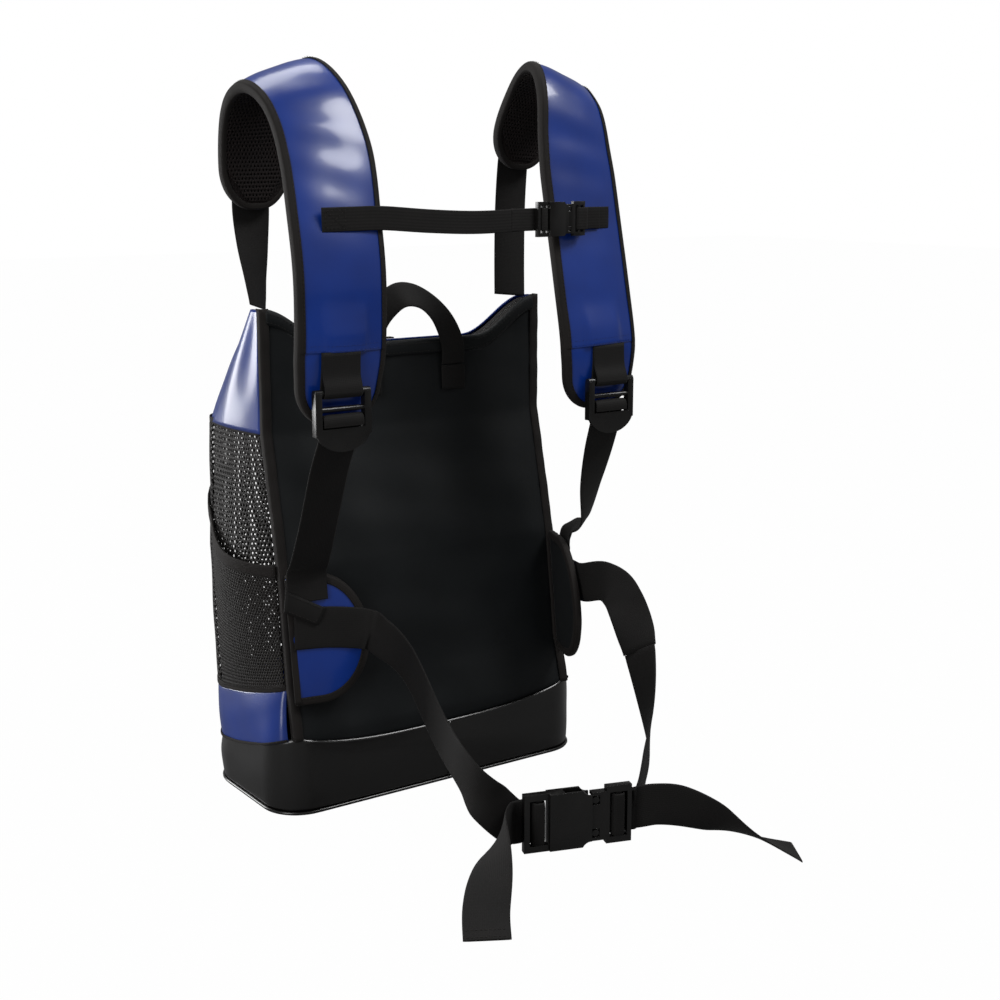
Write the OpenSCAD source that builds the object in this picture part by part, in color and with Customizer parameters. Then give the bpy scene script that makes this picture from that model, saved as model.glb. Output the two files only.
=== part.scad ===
// Harness bag with padded shoulder straps, a chest strap and a waist belt.
// The wearer's side of the bag faces -Y, +X is the right-hand side seen from
// there, and the origin is the centre of the base's underside.

/* [Bag body] */
// Width of the rigid base band
base_w = 344; // [330:1:360]
// Depth of the rigid base band
base_d = 164; // [150:1:180]
// Height of the glossy base at the front corners, its highest place
base_h = 74; // [66:1:85]
// Width of the bag between its side seams at the top
top_w = 304; // [290:1:312]
// Height where the blue lower band ends and the side mesh starts
band_top = 120; // [105:1:135]
// Height where the bag starts to taper to its ridge
shoulder_z = 350; // [330:1:365]
// Height of the ridge at the side seams
ridge_z = 463; // [450:1:475]
// How far the ridge sags between the side seams
ridge_sag = 36; // [20:1:40]
// How far the wearer's panel leans back from base to shoulder
panel_lean = 54; // [40:1:60]
// How far the middle of the wearer's panel stands out
panel_bulge = 9; // [0:1:14]

/* [Fabric] */
// Thickness of the nylon and vinyl panels
cloth_t = 1.6; // [1:0.1:2.4]
// Thickness of the side mesh
mesh_t = 1.0; // [0.8:0.1:1.6]
// Thickness of the foam behind the wearer's panel
foam_t = 4; // [2:0.5:6]

/* [Harness] */
// Width of a shoulder pad
pad_w = 85; // [70:1:92]
// Thickness of a shoulder pad at its edge
pad_t = 9; // [7:0.5:12]
// Extra thickness at the middle of a pad
pad_crown = 3; // [0:0.5:5]
// Width of the shoulder and waist webbing
belt_w = 38; // [36:1:40]
// Thickness of the wide webbing
belt_t = 1.8; // [1.2:0.1:2.2]
// Width of the chest webbing
chest_w = 20; // [18:1:22]
// Width of the carrying handle
handle_w = 25; // [20:1:30]

/* [Hip fins] */
// Height of a hip fin at the bag
fin_h = 120; // [110:1:130]
// Length of a hip fin
fin_l = 76; // [60:1:90]
// Thickness of a hip fin
fin_t = 9; // [6:1:10]

/* [Hidden] */

blue = [0.08, 0.19, 0.52];
black = [0.07, 0.07, 0.08];
coal = [0.12, 0.12, 0.13];
front_y = -base_d / 2;
rear_y = base_d / 2;
edge_w = 6;           // width of the bound edges and of the pads' binding
boot_front_r = 36;    // plan radii of the base
boot_rear_r = 50;
boot_dip = 14;        // how far the base's top edge falls at the front's middle
ridge_depth = 22;     // depth of the closed top
hem_h = 13;           // height of the hem along the ridge
shoulder_rear = rear_y + 20;
outer_drop = 22;      // how far the band's top edge falls from front to outer face
gap = 0.3;            // clearance between bodies that move apart

// ---- paths and skins ---------------------------------------------------

function unit(v) = v / norm(v);
function mix(a, b, t) = a + (b - a) * t;
function ends(i, n) = min(max(i, 0), n);

// Point on a smooth curve through the points p, in span i at t from 0 to 1
function spline_at(p, i, t) = let (
    n = len(p) - 1,
    a = p[ends(i - 1, n)], b = p[i], c = p[ends(i + 1, n)], d = p[ends(i + 2, n)])
    0.5 * (2 * b + (c - a) * t + (2 * a - 5 * b + 4 * c - d) * t * t
        + (3 * b - 3 * c + d - a) * t * t * t);
function smooth(p, steps) = concat(
    [for (i = [0:len(p) - 2]) for (k = [0:steps - 1]) spline_at(p, i, k / steps)],
    [p[len(p) - 1]]);
function tangents(p) = [for (i = [0:len(p) - 1])
    unit(p[ends(i + 1, len(p) - 1)] - p[ends(i - 1, len(p) - 1)])];
function square_to(v, t) = unit(v - (v * t) * t);

// Skin through rings of points. Each ring lists one face of a sheet from edge
// to edge and then the other face back again.
module skin(rings, closed = false) {
    n = len(rings);
    m = len(rings[0]);
    spans = closed ? n : n - 1;
    // The back half's diagonals run the other way, so that two sheets laid
    // face to face have the same triangles
    sides = [for (i = [0:spans - 1]) for (j = [0:m - 1]) let (
        a = i * m + j, b = i * m + (j + 1) % m,
        c = ((i + 1) % n) * m + (j + 1) % m, d = ((i + 1) % n) * m + j)
        each (j < m / 2 - 1 ? [[a, b, c], [a, c, d]] : [[a, b, d], [b, c, d]])];
    cap = [for (j = [0:m / 2 - 2]) each [[j, m - 2 - j, j + 1], [j, m - 1 - j, m - 2 - j]]];
    last = (n - 1) * m;
    caps = closed ? [] : concat(cap, [for (f = cap) [last + f[0], last + f[2], last + f[1]]]);
    polyhedron(points = [for (r = rings) each r], faces = concat(sides, caps), convexity = 6);
}

// Flat webbing along a route, with the direction of its width at each point
module webbing(route, widths, w, t, steps = 4, lift = 0) {
    p = smooth(route, steps);
    tan = tangents(p);
    wide = smooth(widths, steps);
    skin([for (i = [0:len(p) - 1]) let (
        s = square_to(wide[i], tan[i]), n = cross(s, tan[i]))
        [p[i] + s * w / 2 + n * (lift + t / 2), p[i] - s * w / 2 + n * (lift + t / 2),
         p[i] - s * w / 2 + n * (lift - t / 2), p[i] + s * w / 2 + n * (lift - t / 2)]]);
}

// ---- the bag's outline ---------------------------------------------------

function half_w(z) = lookup(z, [[base_h, top_w / 2 + 3], [band_top, top_w / 2 + 2],
    [shoulder_z, top_w / 2], [ridge_z, top_w / 2]]);
function wearer_y(z) = front_y + panel_lean * lookup(z, [[0, 0.046], [base_h, 0.046],
    [band_top, 0.259], [230, 0.514], [292, 0.762], [shoulder_z, 1], [ridge_z, 1]]);
function ridge_at(x) = let (u = min(abs(x) / (top_w / 2), 1))
    ridge_z - ridge_sag * (u < 0.5 ? 1 : 0.5 + 0.5 * cos(180 * (u - 0.5) / 0.5));
function panel_y(x, z) = wearer_y(z) - panel_bulge
    * (1 - pow(x / half_w(z), 2)) * sin(180 * (z - base_h) / (ridge_z - base_h + 40));
function outer_y(z) = lookup(z, [[base_h, rear_y], [band_top, rear_y + 8],
    [230, rear_y + 17], [shoulder_z, shoulder_rear],
    [ridge_z, wearer_y(ridge_z) + ridge_depth]]);
function outer_r(z) = lookup(z, [[base_h, boot_rear_r - 2], [shoulder_z, 34],
    [ridge_z - 2, 6]]);

// The sides swell from the seam at k = 0 to the outer corner at k = 1
function rear_out(z) = lookup(z, [[base_h, 16], [band_top, 15], [230, 13], [shoulder_z, 5],
    [ridge_z, 0]]);
function side_out(k, z) = rear_out(z) * pow(k, 0.8) + sin(180 * k)
    * lookup(z, [[base_h, 4], [band_top, 6], [230, 7], [shoulder_z, 3], [ridge_z, 0]]);
function band_z(k) = band_top - outer_drop * pow(k, 0.8);

// Height of the base's top edge at a place in plan
function boot_at(x, y) = abs(x) < top_w / 2 && y < 0
    ? base_h - boot_dip * (1 - pow(abs(x) / (top_w / 2), 3))
    : lookup(y, [[-77, base_h], [-46, 64], [-20, 57], [10, 50], [40, 46], [rear_y, 45]]);
// Half width of the base at depth y, ahead of its rear corners
function base_x(y) = let (c = front_y + boot_front_r) base_w / 2 - boot_front_r
    * (1 - sqrt(1 - pow(min(0, y - c) / boot_front_r, 2)));

levels = [base_h, band_top, 175, 230, 292, shoulder_z, 400];
columns = [for (k = [-10:10]) k / 10];

// Sheet across the wearer's side, from y offset near to y offset far
module wearer_sheet(inset, bottom, top_gap, near, far) {
    zs = concat([base_h + 8], [for (z = levels) if (z > base_h + 13) z]);
    rows = concat(bottom > 0 ? [] : [[for (c = columns)
            let (x = c * (half_w(base_h) - inset)) [x, boot_at(x, front_y)]]],
        [for (z = zs) [for (c = columns) [c * (half_w(z) - inset), z]]],
        [[for (c = columns) let (x = c * (top_w / 2 - inset)) [x, ridge_at(x) - top_gap]]]);
    skin([for (r = rows) concat(
        [for (q = r) [q[0], panel_y(q[0], q[1]) + near, q[1]]],
        [for (k = [len(r) - 1:-1:0]) [r[k][0], panel_y(r[k][0], r[k][1]) + far, r[k][1]]])]);
}

module wearer_panel() {
    color(black) wearer_sheet(edge_w, 0, hem_h + gap, 0, cloth_t);
}
module wearer_panel_foam() {
    near = cloth_t + 2 * gap;
    color(coal) wearer_sheet(edge_w + 8, 8, hem_h + 12, near, near + foam_t);
}

// Half turn of the outer outline at height z: side seam, rounded corner, rear
function outer_plan(z, t) = let (
    r = outer_r(z), w = half_w(z) + rear_out(z), y = outer_y(z)) concat(
    [for (a = [0:22.5:90]) [-(w - r) - (r - t) * cos(a), y - r + (r - t) * sin(a), z]],
    [for (c = [-0.6:0.3:0.6]) [c * (w - r), y - t, z]],
    [for (a = [90:-22.5:0]) [(w - r) + (r - t) * cos(a), y - r + (r - t) * sin(a), z]]);
function back_to(f, g) = concat(f, [for (k = [len(g) - 1:-1:0]) g[k]]);
function sag(p) = [for (q = p) let (drop = ridge_at(q[0]) - ridge_z,
    k = max(0, (q[2] - shoulder_z) / (ridge_z - shoulder_z))) q + [0, 0, drop * k]];

module outer_sheet(zs, t) {
    skin([for (z = zs) back_to(sag(outer_plan(z, t)), sag(outer_plan(z, 0)))]);
}
module outer_top_panel() {
    color(blue) outer_sheet([shoulder_z, 388, 426, ridge_z - 1], cloth_t);
}
module outer_mesh_panel() {
    color(coal) outer_sheet([band_top - outer_drop, 140, 185, 230, 292, shoulder_z], mesh_t);
}

// Point on a side, out from its surface, s is -1 or 1
stations = [0:0.125:1];
function side_point(s, k, z, out) = let (y0 = wearer_y(z) + edge_w,
    y1 = max(outer_y(z) - outer_r(z), y0 + 1))
    [s * (half_w(z) + side_out(k, z) + out), mix(y0, y1, k), z];
// Side sheet from the wearer's seam to the outer panel; foot is how far its
// lowest edge follows the band's
module side_sheet(s, zs, out, t, foot = 0) {
    function lift(i, k) = i == 0 ? foot * (band_z(k) - band_top) : 0;
    skin([for (i = [0:len(zs) - 1]) back_to(
        [for (k = stations) side_point(s, k, zs[i] + lift(i, k), out)],
        [for (k = stations) side_point(s, k, zs[i] + lift(i, k), out - t)])]);
}
module top_gusset(s) {
    color(blue) side_sheet(s, [shoulder_z, 388, 426, ridge_z - 1], 0, cloth_t);
}
module left_top_gusset() { top_gusset(-1); }
module right_top_gusset() { top_gusset(1); }
module mesh_panel(s) {
    color(coal) side_sheet(s, [band_top, 160, 195, 230, 292, shoulder_z], -0.2, mesh_t, 1);
}
module left_mesh_panel() { mesh_panel(-1); }
module right_mesh_panel() { mesh_panel(1); }

// Pocket on the lower mesh; its hem falls from the rear seam to the front
pocket_bulge = 8;
module mesh_pocket(s) {
    function hem_z(k) = 227 + 28 * pow(k, 3);
    function at(k, v, out) = side_point(s, k, mix(band_z(k) + 1, hem_z(k), v),
        out + 1.2 + gap + pocket_bulge * v * sin(180 * k));
    color(coal) skin([for (v = [0, 0.2, 0.4, 0.6, 0.8, 1]) back_to(
        [for (k = stations) at(k, v, 0)], [for (k = stations) at(k, v, -mesh_t)])]);
}
module left_mesh_pocket() { mesh_pocket(-1); }
module right_mesh_pocket() { mesh_pocket(1); }

// Blue vinyl band above the base, round the sides and the outer face. Its
// lowest lane lies on the base's outline and its highest on the bag's.
module lower_band() {
    foot_y = rear_y - boot_rear_r;
    function foot(s, k, t) = let (y = mix(front_y + 9, foot_y, k), x = base_x(y) - 0.6)
        [s * (x - t), y, boot_at(x, y) + gap];
    function foot_rear(t) = let (w = base_w / 2 - 0.6, r = boot_rear_r) concat(
        [for (a = [22.5:22.5:90]) let (q = rear_y - r + (r - t) * sin(a))
            [-(w - r) - (r - t) * cos(a), q, boot_at(base_w, q) + gap]],
        [for (c = [-0.6:0.3:0.6]) [c * (w - r), rear_y - t, boot_at(0, rear_y) + gap]],
        [for (a = [90:-22.5:22.5]) let (q = rear_y - r + (r - t) * sin(a))
            [(w - r) + (r - t) * cos(a), q, boot_at(base_w, q) + gap]]);
    function head(s, k, t) = side_point(s, k, band_z(k), -t);
    function head_rear(t) = let (p = outer_plan(band_top - outer_drop, t))
        [for (i = [1:len(p) - 2]) p[i]];
    function lane(v, t) = let (
        low = concat([for (k = stations) foot(-1, k, t)], foot_rear(t),
            [for (k = [1:-0.125:0]) foot(1, k, t)]),
        top = concat([for (k = stations) head(-1, k, t)], head_rear(t),
            [for (k = [1:-0.125:0]) head(1, k, t)]))
        [for (i = [0:len(low) - 1]) mix(low[i], top[i], v)];
    color(blue) skin([for (v = [0, 0.5, 1]) back_to(lane(v, cloth_t), lane(v, 0))]);
}

// Bound edge where the wearer's panel meets a side
module edge_binding(s) {
    t = 4;
    color(black) skin([for (z = concat(levels, [430, ridge_z])) let (
        x = half_w(z), y = wearer_y(z))
        [[s * (x + 0.8), y - 1, z], [s * (x - edge_w), y - 1, z],
         [s * (x - edge_w), y + t, z], [s * (x + 0.8), y + edge_w, z]]]);
}
module left_edge_binding() { edge_binding(-1); }
module right_edge_binding() { edge_binding(1); }

// Turned hem along the wearer's side of the ridge
module top_hem() {
    xs = [for (c = columns) c * (top_w / 2 - edge_w)];
    t = 3.2;
    color(black) skin([for (x = xs) let (z = ridge_at(x), y = panel_y(x, z - hem_h))
        [[x, y - 0.8, z - hem_h], [x, y - 0.8, z], [x, y + t, z], [x, y + t, z - hem_h]]]);
}

// ---- the base --------------------------------------------------------------

module rounded_plan(grow) {
    w = base_w / 2 + grow;
    f = front_y - grow;
    r = rear_y + grow;
    a = boot_front_r + grow;
    b = boot_rear_r + grow;
    union() {
        translate([-w, f + a]) square([2 * w, r - b - f - a]);
        translate([-w + a, f]) square([2 * (w - a), 2 * a]);
        translate([-w + b, r - 2 * b]) square([2 * (w - b), 2 * b]);
        for (s = [-1, 1]) {
            translate([s * (w - a), f + a]) circle(a, $fn = 48);
            translate([s * (w - b), r - b]) circle(b, $fn = 64);
        }
    }
}
board_t = 3;
piping_h = 4;
// Half of the base's outline from front middle to rear middle, inset by t
function half_loop(t) = let (w = base_w / 2, a = boot_front_r, b = boot_rear_r) concat(
    [for (k = [0:6]) [(w - a) * k / 6, front_y + t]],
    [for (q = [-75:15:0]) [w - a + (a - t) * cos(q), front_y + a + (a - t) * sin(q)]],
    [[w - t, -20], [w - t, 10]],
    [for (q = [0:15:90]) [w - b + (b - t) * cos(q), rear_y - b + (b - t) * sin(q)]],
    [[(w - b) / 2, rear_y - t], [0, rear_y - t]]);
module base_boot() {
    t = 2;
    out = half_loop(0);
    in = half_loop(t);
    n = len(out);
    function ring(s, i) = let (h = boot_at(out[i][0], out[i][1]))
        [[s * out[i][0], out[i][1], piping_h], [s * out[i][0], out[i][1], h],
         [s * in[i][0], in[i][1], h], [s * in[i][0], in[i][1], piping_h]];
    color(black) skin(concat([for (i = [0:n - 1]) ring(1, i)],
        [for (i = [n - 2:-1:1]) ring(-1, i)]), closed = true);
}
module base_piping() {
    color(coal) linear_extrude(piping_h) difference() {
        rounded_plan(1.4);
        rounded_plan(-2);
    }
}
module base_floor() {
    color(black) linear_extrude(cloth_t) rounded_plan(-2);
}
module base_board() {
    color(coal) translate([0, 0, cloth_t]) linear_extrude(board_t) rounded_plan(-6);
}

// ---- the zip along the ridge -----------------------------------------------

zip_z = ridge_z - ridge_sag;
zip_y = wearer_y(ridge_z) - 1 + ridge_depth / 2;
zip_w = ridge_depth - 8;
module zip_tape() {
    xs = [for (c = [-1:0.1:1]) c * (top_w / 2 - edge_w)];
    color(coal) skin([for (x = xs) let (z = ridge_at(x) - 2.4, y = zip_y)
        [[x, y - zip_w / 2, z - 1], [x, y - zip_w / 2, z], [x, y + zip_w / 2, z],
         [x, y + zip_w / 2, z - 1]]]);
}
slider_x = -40;
module zip_slider() {
    z = zip_z - 2.4 + gap;
    color("dimgray") translate([slider_x, zip_y, z]) difference() {
        union() {
            translate([-6, -4.5, 0]) cube([12, 9, 2.6]);
            for (s = [-1, 1]) translate([-3, s * 1.8 - 0.7, 2.6]) cube([6, 1.4, 3.4]);
        }
        translate([0, -4, 4.2]) rotate([-90, 0, 0]) cylinder(h = 8, r = 1.05, $fn = 32);
    }
}
// The pull hangs from a pin between the slider's ears and lies along the tape
module zip_pull() {
    color("gray") translate([slider_x, zip_y, zip_z - 2.4 + gap + 4.2]) difference() {
        union() {
            rotate([-90, 0, 0]) translate([0, 0, -2.5]) cylinder(h = 5, r = 1, $fn = 32);
            translate([0, -0.8, -0.6]) cube([6, 1.6, 1.2]);
            translate([6, -3.5, -0.6]) cube([24, 7, 1.2]);
        }
        translate([24, 0, -1]) cylinder(h = 2, r = 1.8, $fn = 32);
    }
}

// ---- the carrying handle ---------------------------------------------------

patch_x = 47;
patch_z = 378;
handle_z = 402;
function patch_y(z) = panel_y(patch_x, z) - 1.1;
module handle_patches() {
    h = handle_z - patch_z - 1.4;
    for (s = [-1, 1]) color(black) skin([for (z = [patch_z, patch_z + h]) let (
        x = s * patch_x, y = patch_y(z))
        [[x - handle_w / 2, y - 2.6, z], [x + handle_w / 2, y - 2.6, z],
         [x + handle_w / 2, y, z], [x - handle_w / 2, y, z]]]);
}
handle_route = [[patch_x, -36.2, handle_z], [46, -37.4, 420], [37, -39, 440],
    [20, -43, 458], [-2, -48, 470], [-22, -48, 470], [-38, -42, 453], [-46, -37.6, 428],
    [-patch_x, -36.2, handle_z]];
handle_widths = [[1, 0, 0], [1, 0, 0.1], [0.9, 0.2, 0.5], [0.55, 0.5, 0.8], [0, 0.6, 1],
    [-0.5, 0.5, 0.9], [-0.9, 0.2, 0.5], [-1, 0, 0.1], [-1, 0, 0]];
module grab_handle() {
    color(black) webbing(handle_route, handle_widths, handle_w, 1.8, 4);
}

// ---- the shoulder pads -----------------------------------------------------

left_pad_route = [[-141, -142, 374], [-141, -146.3, 404], [-140, -151, 440], [-140, -153, 496],
    [-138, -142, 546], [-134, -121, 602], [-139, -97, 645], [-146, -64, 664],
    [-148, -34, 647], [-146, -16, 606], [-145, -10, 550]];
right_pad_route = [[144, -134.5, 364], [143, -138.8, 391], [142, -141, 426],
    [140, -132, 483],
    [141, -118, 539], [141, -104, 600], [144, -90, 648], [150, -64, 668],
    [152, -34, 656], [148, -14, 625], [145, -5, 585]];
pad_rolls = [[1, 0, 0], [1, 0, 0], [1, 0, 0], [1, 0, 0.02], [1, 0, 0.06], [1, 0, 0.16],
    [1, 0.06, 0.28], [1, 0.1, 0.34], [1, 0.06, 0.24], [1, 0, 0.1], [1, 0, 0]];
tip_r = 32;
end_r = pad_w / 2 - 0.6;

// One pad's centre line, width directions and lengths from its lower tip
function run_lengths(p, i = 0, so_far = 0) = i >= len(p) ? [] : let (
    here = so_far + (i == 0 ? 0 : norm(p[i] - p[i - 1])))
    concat([here], run_lengths(p, i + 1, here));
function pad_line(s) = let (
    p = smooth(s < 0 ? left_pad_route : right_pad_route, 5),
    w = smooth([for (v = pad_rolls) [v[0], v[1], -s * v[2]]], 5))
    [p, w, tangents(p), run_lengths(p)];
// The pad narrows a little to its tip and more to its back end
function taper(line, a) = let (l = line[3][len(line[3]) - 1])
    lookup(a, [[0, 0.86], [55, 1], [l * 0.5, 1], [l, 0.76]]);
function pick(at, keys, values) = [for (k = [0:2])
    lookup(at, [for (i = [0:len(keys) - 1]) [keys[i], values[i][k]]])];

// Place on a pad: a along it, b across it, h above its middle surface
function on_pad(line, a, b, h) = let (
    p = pick(a, line[3], line[0]), t = unit(pick(a, line[3], line[2])),
    w = square_to(pick(a, line[3], line[1]), t), n = cross(w, t))
    p + w * b * taper(line, a) + n * h;

// Half of a pad's flat outline, drawn inside its edge by q
function pad_half(line, q) = let (l = line[3][len(line[3]) - 1], mid = pad_w / 2) concat(
    [for (a = [0:22.5:90]) [tip_r - (tip_r - q) * cos(a), mid - tip_r + (tip_r - q) * sin(a)]],
    [for (k = [1:14]) [mix(tip_r, l - end_r, k / 15), mid - q]],
    [for (a = [90:-18:0]) [l - end_r + (end_r - q) * cos(a),
        mid - end_r + (end_r - q) * sin(a)]]);

// One layer of a pad between heights low and high, crowned across its width
module pad_layer(s, low, high, crown_low, crown_high) {
    line = pad_line(s);
    across = [-1, -0.5, 0, 0.5, 1];
    half = pad_half(line, edge_w - 2);
    skin([for (q = half) back_to(
        [for (u = across) on_pad(line, q[0], u * q[1], low + crown_low * (1 - u * u))],
        [for (u = across) on_pad(line, q[0], u * q[1], high + crown_high * (1 - u * u))])]);
}
vinyl_t = 1.4;
lining_t = 1.6;
module pad_vinyl(s) {
    color(blue) pad_layer(s, pad_t / 2 - vinyl_t, pad_t / 2, pad_crown, pad_crown);
}
module pad_foam(s) {
    color("dimgray") pad_layer(s, lining_t - pad_t / 2, pad_t / 2 - vinyl_t, 0, pad_crown);
}
module pad_lining(s) {
    color(black) pad_layer(s, -pad_t / 2, lining_t - pad_t / 2, 0, 0);
}
module pad_binding(s) {
    line = pad_line(s);
    function loop(q) = let (h = pad_half(line, q)) concat(
        h, [for (k = [len(h) - 1:-1:0]) [h[k][0], -h[k][1]]]);
    outer = loop(0);
    inner = loop(edge_w - 2 - 3 * gap);
    h = pad_t / 2;
    color(black) skin([for (k = [0:len(outer) - 1]) [
        on_pad(line, outer[k][0], outer[k][1], -h), on_pad(line, outer[k][0], outer[k][1], h),
        on_pad(line, inner[k][0], inner[k][1], h), on_pad(line, inner[k][0], inner[k][1], -h)]],
        closed = true);
}
module left_pad_vinyl() { pad_vinyl(-1); }
module left_pad_foam() { pad_foam(-1); }
module left_pad_lining() { pad_lining(-1); }
module left_pad_binding() { pad_binding(-1); }
module right_pad_vinyl() { pad_vinyl(1); }
module right_pad_foam() { pad_foam(1); }
module right_pad_lining() { pad_lining(1); }
module right_pad_binding() { pad_binding(1); }

// Webbing from the back end of a pad down to the bag's top corner
left_upper_route = [[-146, -5, 592], [-145.5, -2.6, 570], [-145, -0.8, 548], [-145.5, -3, 520],
    [-147, -9, 492], [-148.5, -15, 472], [-149, -17, 464.5]];
right_upper_route = [[147, -2.5, 622], [146, 1.6, 604], [145, 4, 582], [142, 3, 545],
    [137, -3, 500], [133, -9, 462]];
across_x = [1, 0, 0];
module left_upper_webbing() {
    color(black) webbing(left_upper_route, concat([for (k = [0:2]) across_x],
        [[1, 0.25, 0], [0.85, 0.52, 0], [0.76, 0.65, 0], [0.73, 0.68, 0]]), belt_w - 2, belt_t);
}
module right_upper_webbing() {
    color(black) webbing(right_upper_route, [for (p = right_upper_route) across_x],
        belt_w - 2, belt_t);
}

// ---- ladder locks under the pads -------------------------------------------

left_lock = [-145, -159.8, 404];    // axis of each lock's top bar
right_lock = [147, -152.6, 391];
bar_r = 3.2;
lock_w = 53;
lock_h = 50;
slot_w = belt_w + 2.5;

// The lock hangs from its top bar, drawn with that bar on the X axis
module ladder_lock() {
    t = 3.4;
    rail = (lock_w - slot_w) / 2;
    color(coal) {
        rotate([0, 90, 0]) cylinder(h = lock_w, r = bar_r, center = true, $fn = 48);
        for (s = [-1, 1]) translate([s * (lock_w - rail) / 2 - rail / 2, -t, -lock_h + 14])
            cube([rail, 2 * t, lock_h - 14]);
        for (z = [-14, -24]) translate([0, 0, z])
            rotate([0, 90, 0]) cylinder(h = lock_w - 1, r = 2.3, center = true, $fn = 32);
        translate([0, 2.6 - t, 20 - lock_h]) rotate([90, 0, 0]) linear_extrude(2.6)
            intersection() {
                scale([lock_w / 2, 20]) circle(1, $fn = 96);
                translate([-lock_w, -20]) square([2 * lock_w, 20]);
            }
    }
}
module left_ladder_lock() { translate(left_lock) ladder_lock(); }
module right_ladder_lock() { translate(right_lock) ladder_lock(); }

// Webbing from under the pad's seam, down its face, round the top bar and
// back up over itself; rise is how far the pad's face stands back at the top
module ladder_loop(at, rise) {
    r = bar_r + gap + 0.8;
    function leg(y, z) = [0, y + rise * z / 31, z];
    route = concat([leg(0, 31), leg(1.2, 20), leg(2.8, 10), leg(4, 4)],
        [for (a = [0:30:180]) [0, r * cos(a), -r * sin(a)]],
        [leg(-3.8, 5), leg(-1.3, 12), leg(-0.9, 20), leg(-2, 31)]);
    color(black) webbing([for (p = route) at + p], [for (p = route) across_x],
        belt_w - 2, 1.6, 3);
}
module left_ladder_loop() { ladder_loop(left_lock, 0); }
module right_ladder_loop() { ladder_loop(right_lock, 3); }

// ---- lower webbing and the tabs on the fins --------------------------------

// The webbing turns over the lock's lower bar, with a short end in front
lock_turn = [[0, -3.6, -28.6], [0, -3.9, -24.4], [0, -2.8, -20.6], [0, 0, -19],
    [0, 2.8, -20.6], [0, 4, -25], [0, 4.6, -36]];
// From there it hangs to the top of the fin and is sewn to its face
module left_lower_webbing() {
    color(black) webbing(concat([for (q = lock_turn) left_lock + q],
        [[-145, -136, 334], [-142, -110, 285], [-139, -86, 244], fin_point(-1, 18, sewn_h + 5.3, 66),
         fin_point(-1, 18, sewn_h + 1.2, 58), fin_point(-1, 18, sewn_h + 0.2, 50),
         fin_point(-1, 18, sewn_h, 36)]),
        concat([for (q = lock_turn) across_x],
        [across_x, across_x, [1, -0.1, 0], fin_along(-1), fin_along(-1), fin_along(-1),
         fin_along(-1)]), belt_w, belt_t, 3);
}
module right_lower_webbing() {
    color(black) webbing(concat([for (q = lock_turn) right_lock + q],
        [[148, -137, 325], [152, -121, 287], [157, -106, 248],
         fin_point(1, 30, sewn_h + 8, 68), fin_point(1, 24, sewn_h + 2.7, 60),
         fin_point(1, 20, sewn_h + 0.8, 52), fin_point(1, 18, sewn_h + 0.2, 43)]),
        concat([for (q = lock_turn) across_x],
        [[1, 0.05, 0], [0.93, 0.3, 0], [0.75, 0.65, 0], [0.5, 0.85, 0],
         fin_along(1), fin_along(1), fin_along(1)]),
        belt_w - 2, belt_t, 3);
}

// ---- hip fins --------------------------------------------------------------

fin_z = 166;
left_fin_at = [-152, -65, fin_z];
right_fin_at = [146, -66, fin_z + 2];
left_fin_turn = -10;
right_fin_turn = -70;
fin_lean = 0.125;     // how far a fin leans back with the panel, per mm of height

// Flat D outline, straight at the bag and round at the tip, inset by q
function fin_outline(q) = let (h = fin_h / 2 - q, l = fin_l - q, c = fin_l - fin_h * 0.42)
    concat([[q, -h]], [for (a = [-90:10:90])
        [c + (l - c) * cos(a), h * sin(a)]], [[q, h]]);
module fin_solid(q, low, high) {
    rotate([90, 0, 0]) translate([0, 0, low]) linear_extrude(high - low)
        polygon(fin_outline(q));
}
module fin_ring(q, low, high) {
    rotate([90, 0, 0]) translate([0, 0, low]) linear_extrude(high - low) difference() {
        polygon(fin_outline(0));
        polygon(fin_outline(q));
    }
}
module lean_back() {
    multmatrix([[1, 0, 0, 0], [0, 1, fin_lean, 0], [0, 0, 1, 0]]) children();
}
module place_left_fin() {
    translate(left_fin_at) lean_back() rotate([0, 0, left_fin_turn]) children();
}
module place_right_fin() {
    translate(right_fin_at) lean_back() mirror([1, 0, 0]) rotate([0, 0, right_fin_turn])
        children();
}
module left_hip_fin() { color(blue) place_left_fin() fin_solid(5, 2, fin_t); }
module right_hip_fin() { color(blue) place_right_fin() fin_solid(5, 2, fin_t); }
module left_fin_lining() { color(black) place_left_fin() fin_solid(5, 0, 2); }
module right_fin_lining() { color(black) place_right_fin() fin_solid(5, 0, 2); }
module left_fin_binding() { color(black) place_left_fin() fin_ring(5, 0.5, fin_t - 0.5); }
module right_fin_binding() { color(black) place_right_fin() fin_ring(5, 0.5, fin_t - 0.5); }

// Slanting tab at the top of a fin, where the lower webbing is sewn
module fin_tab() {
    rotate([90, 0, 0]) translate([0, 0, fin_t + belt_t + 0.7]) linear_extrude(2.2)
        polygon([[-3, 48], [33, 29], [24, 14], [-6, 29]]);
}
module left_fin_tab() { color(black) place_left_fin() fin_tab(); }
module right_fin_tab() { color(black) place_right_fin() fin_tab(); }

// ---- waist belt ------------------------------------------------------------

// Point on a fin: a along it, h out from its inner face, z from its middle
function fin_point(s, a, h, z) = let (
    turn = s < 0 ? left_fin_turn : right_fin_turn, at = s < 0 ? left_fin_at : right_fin_at)
    at + [-s * (a * cos(turn) + h * sin(turn)),
        a * sin(turn) - h * cos(turn) + fin_lean * z, z];
// Level direction along a fin's face, towards the bag's own right or rear
function fin_along(s) = let (turn = s < 0 ? left_fin_turn : right_fin_turn)
    [cos(turn), -s * sin(turn), 0];

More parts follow.
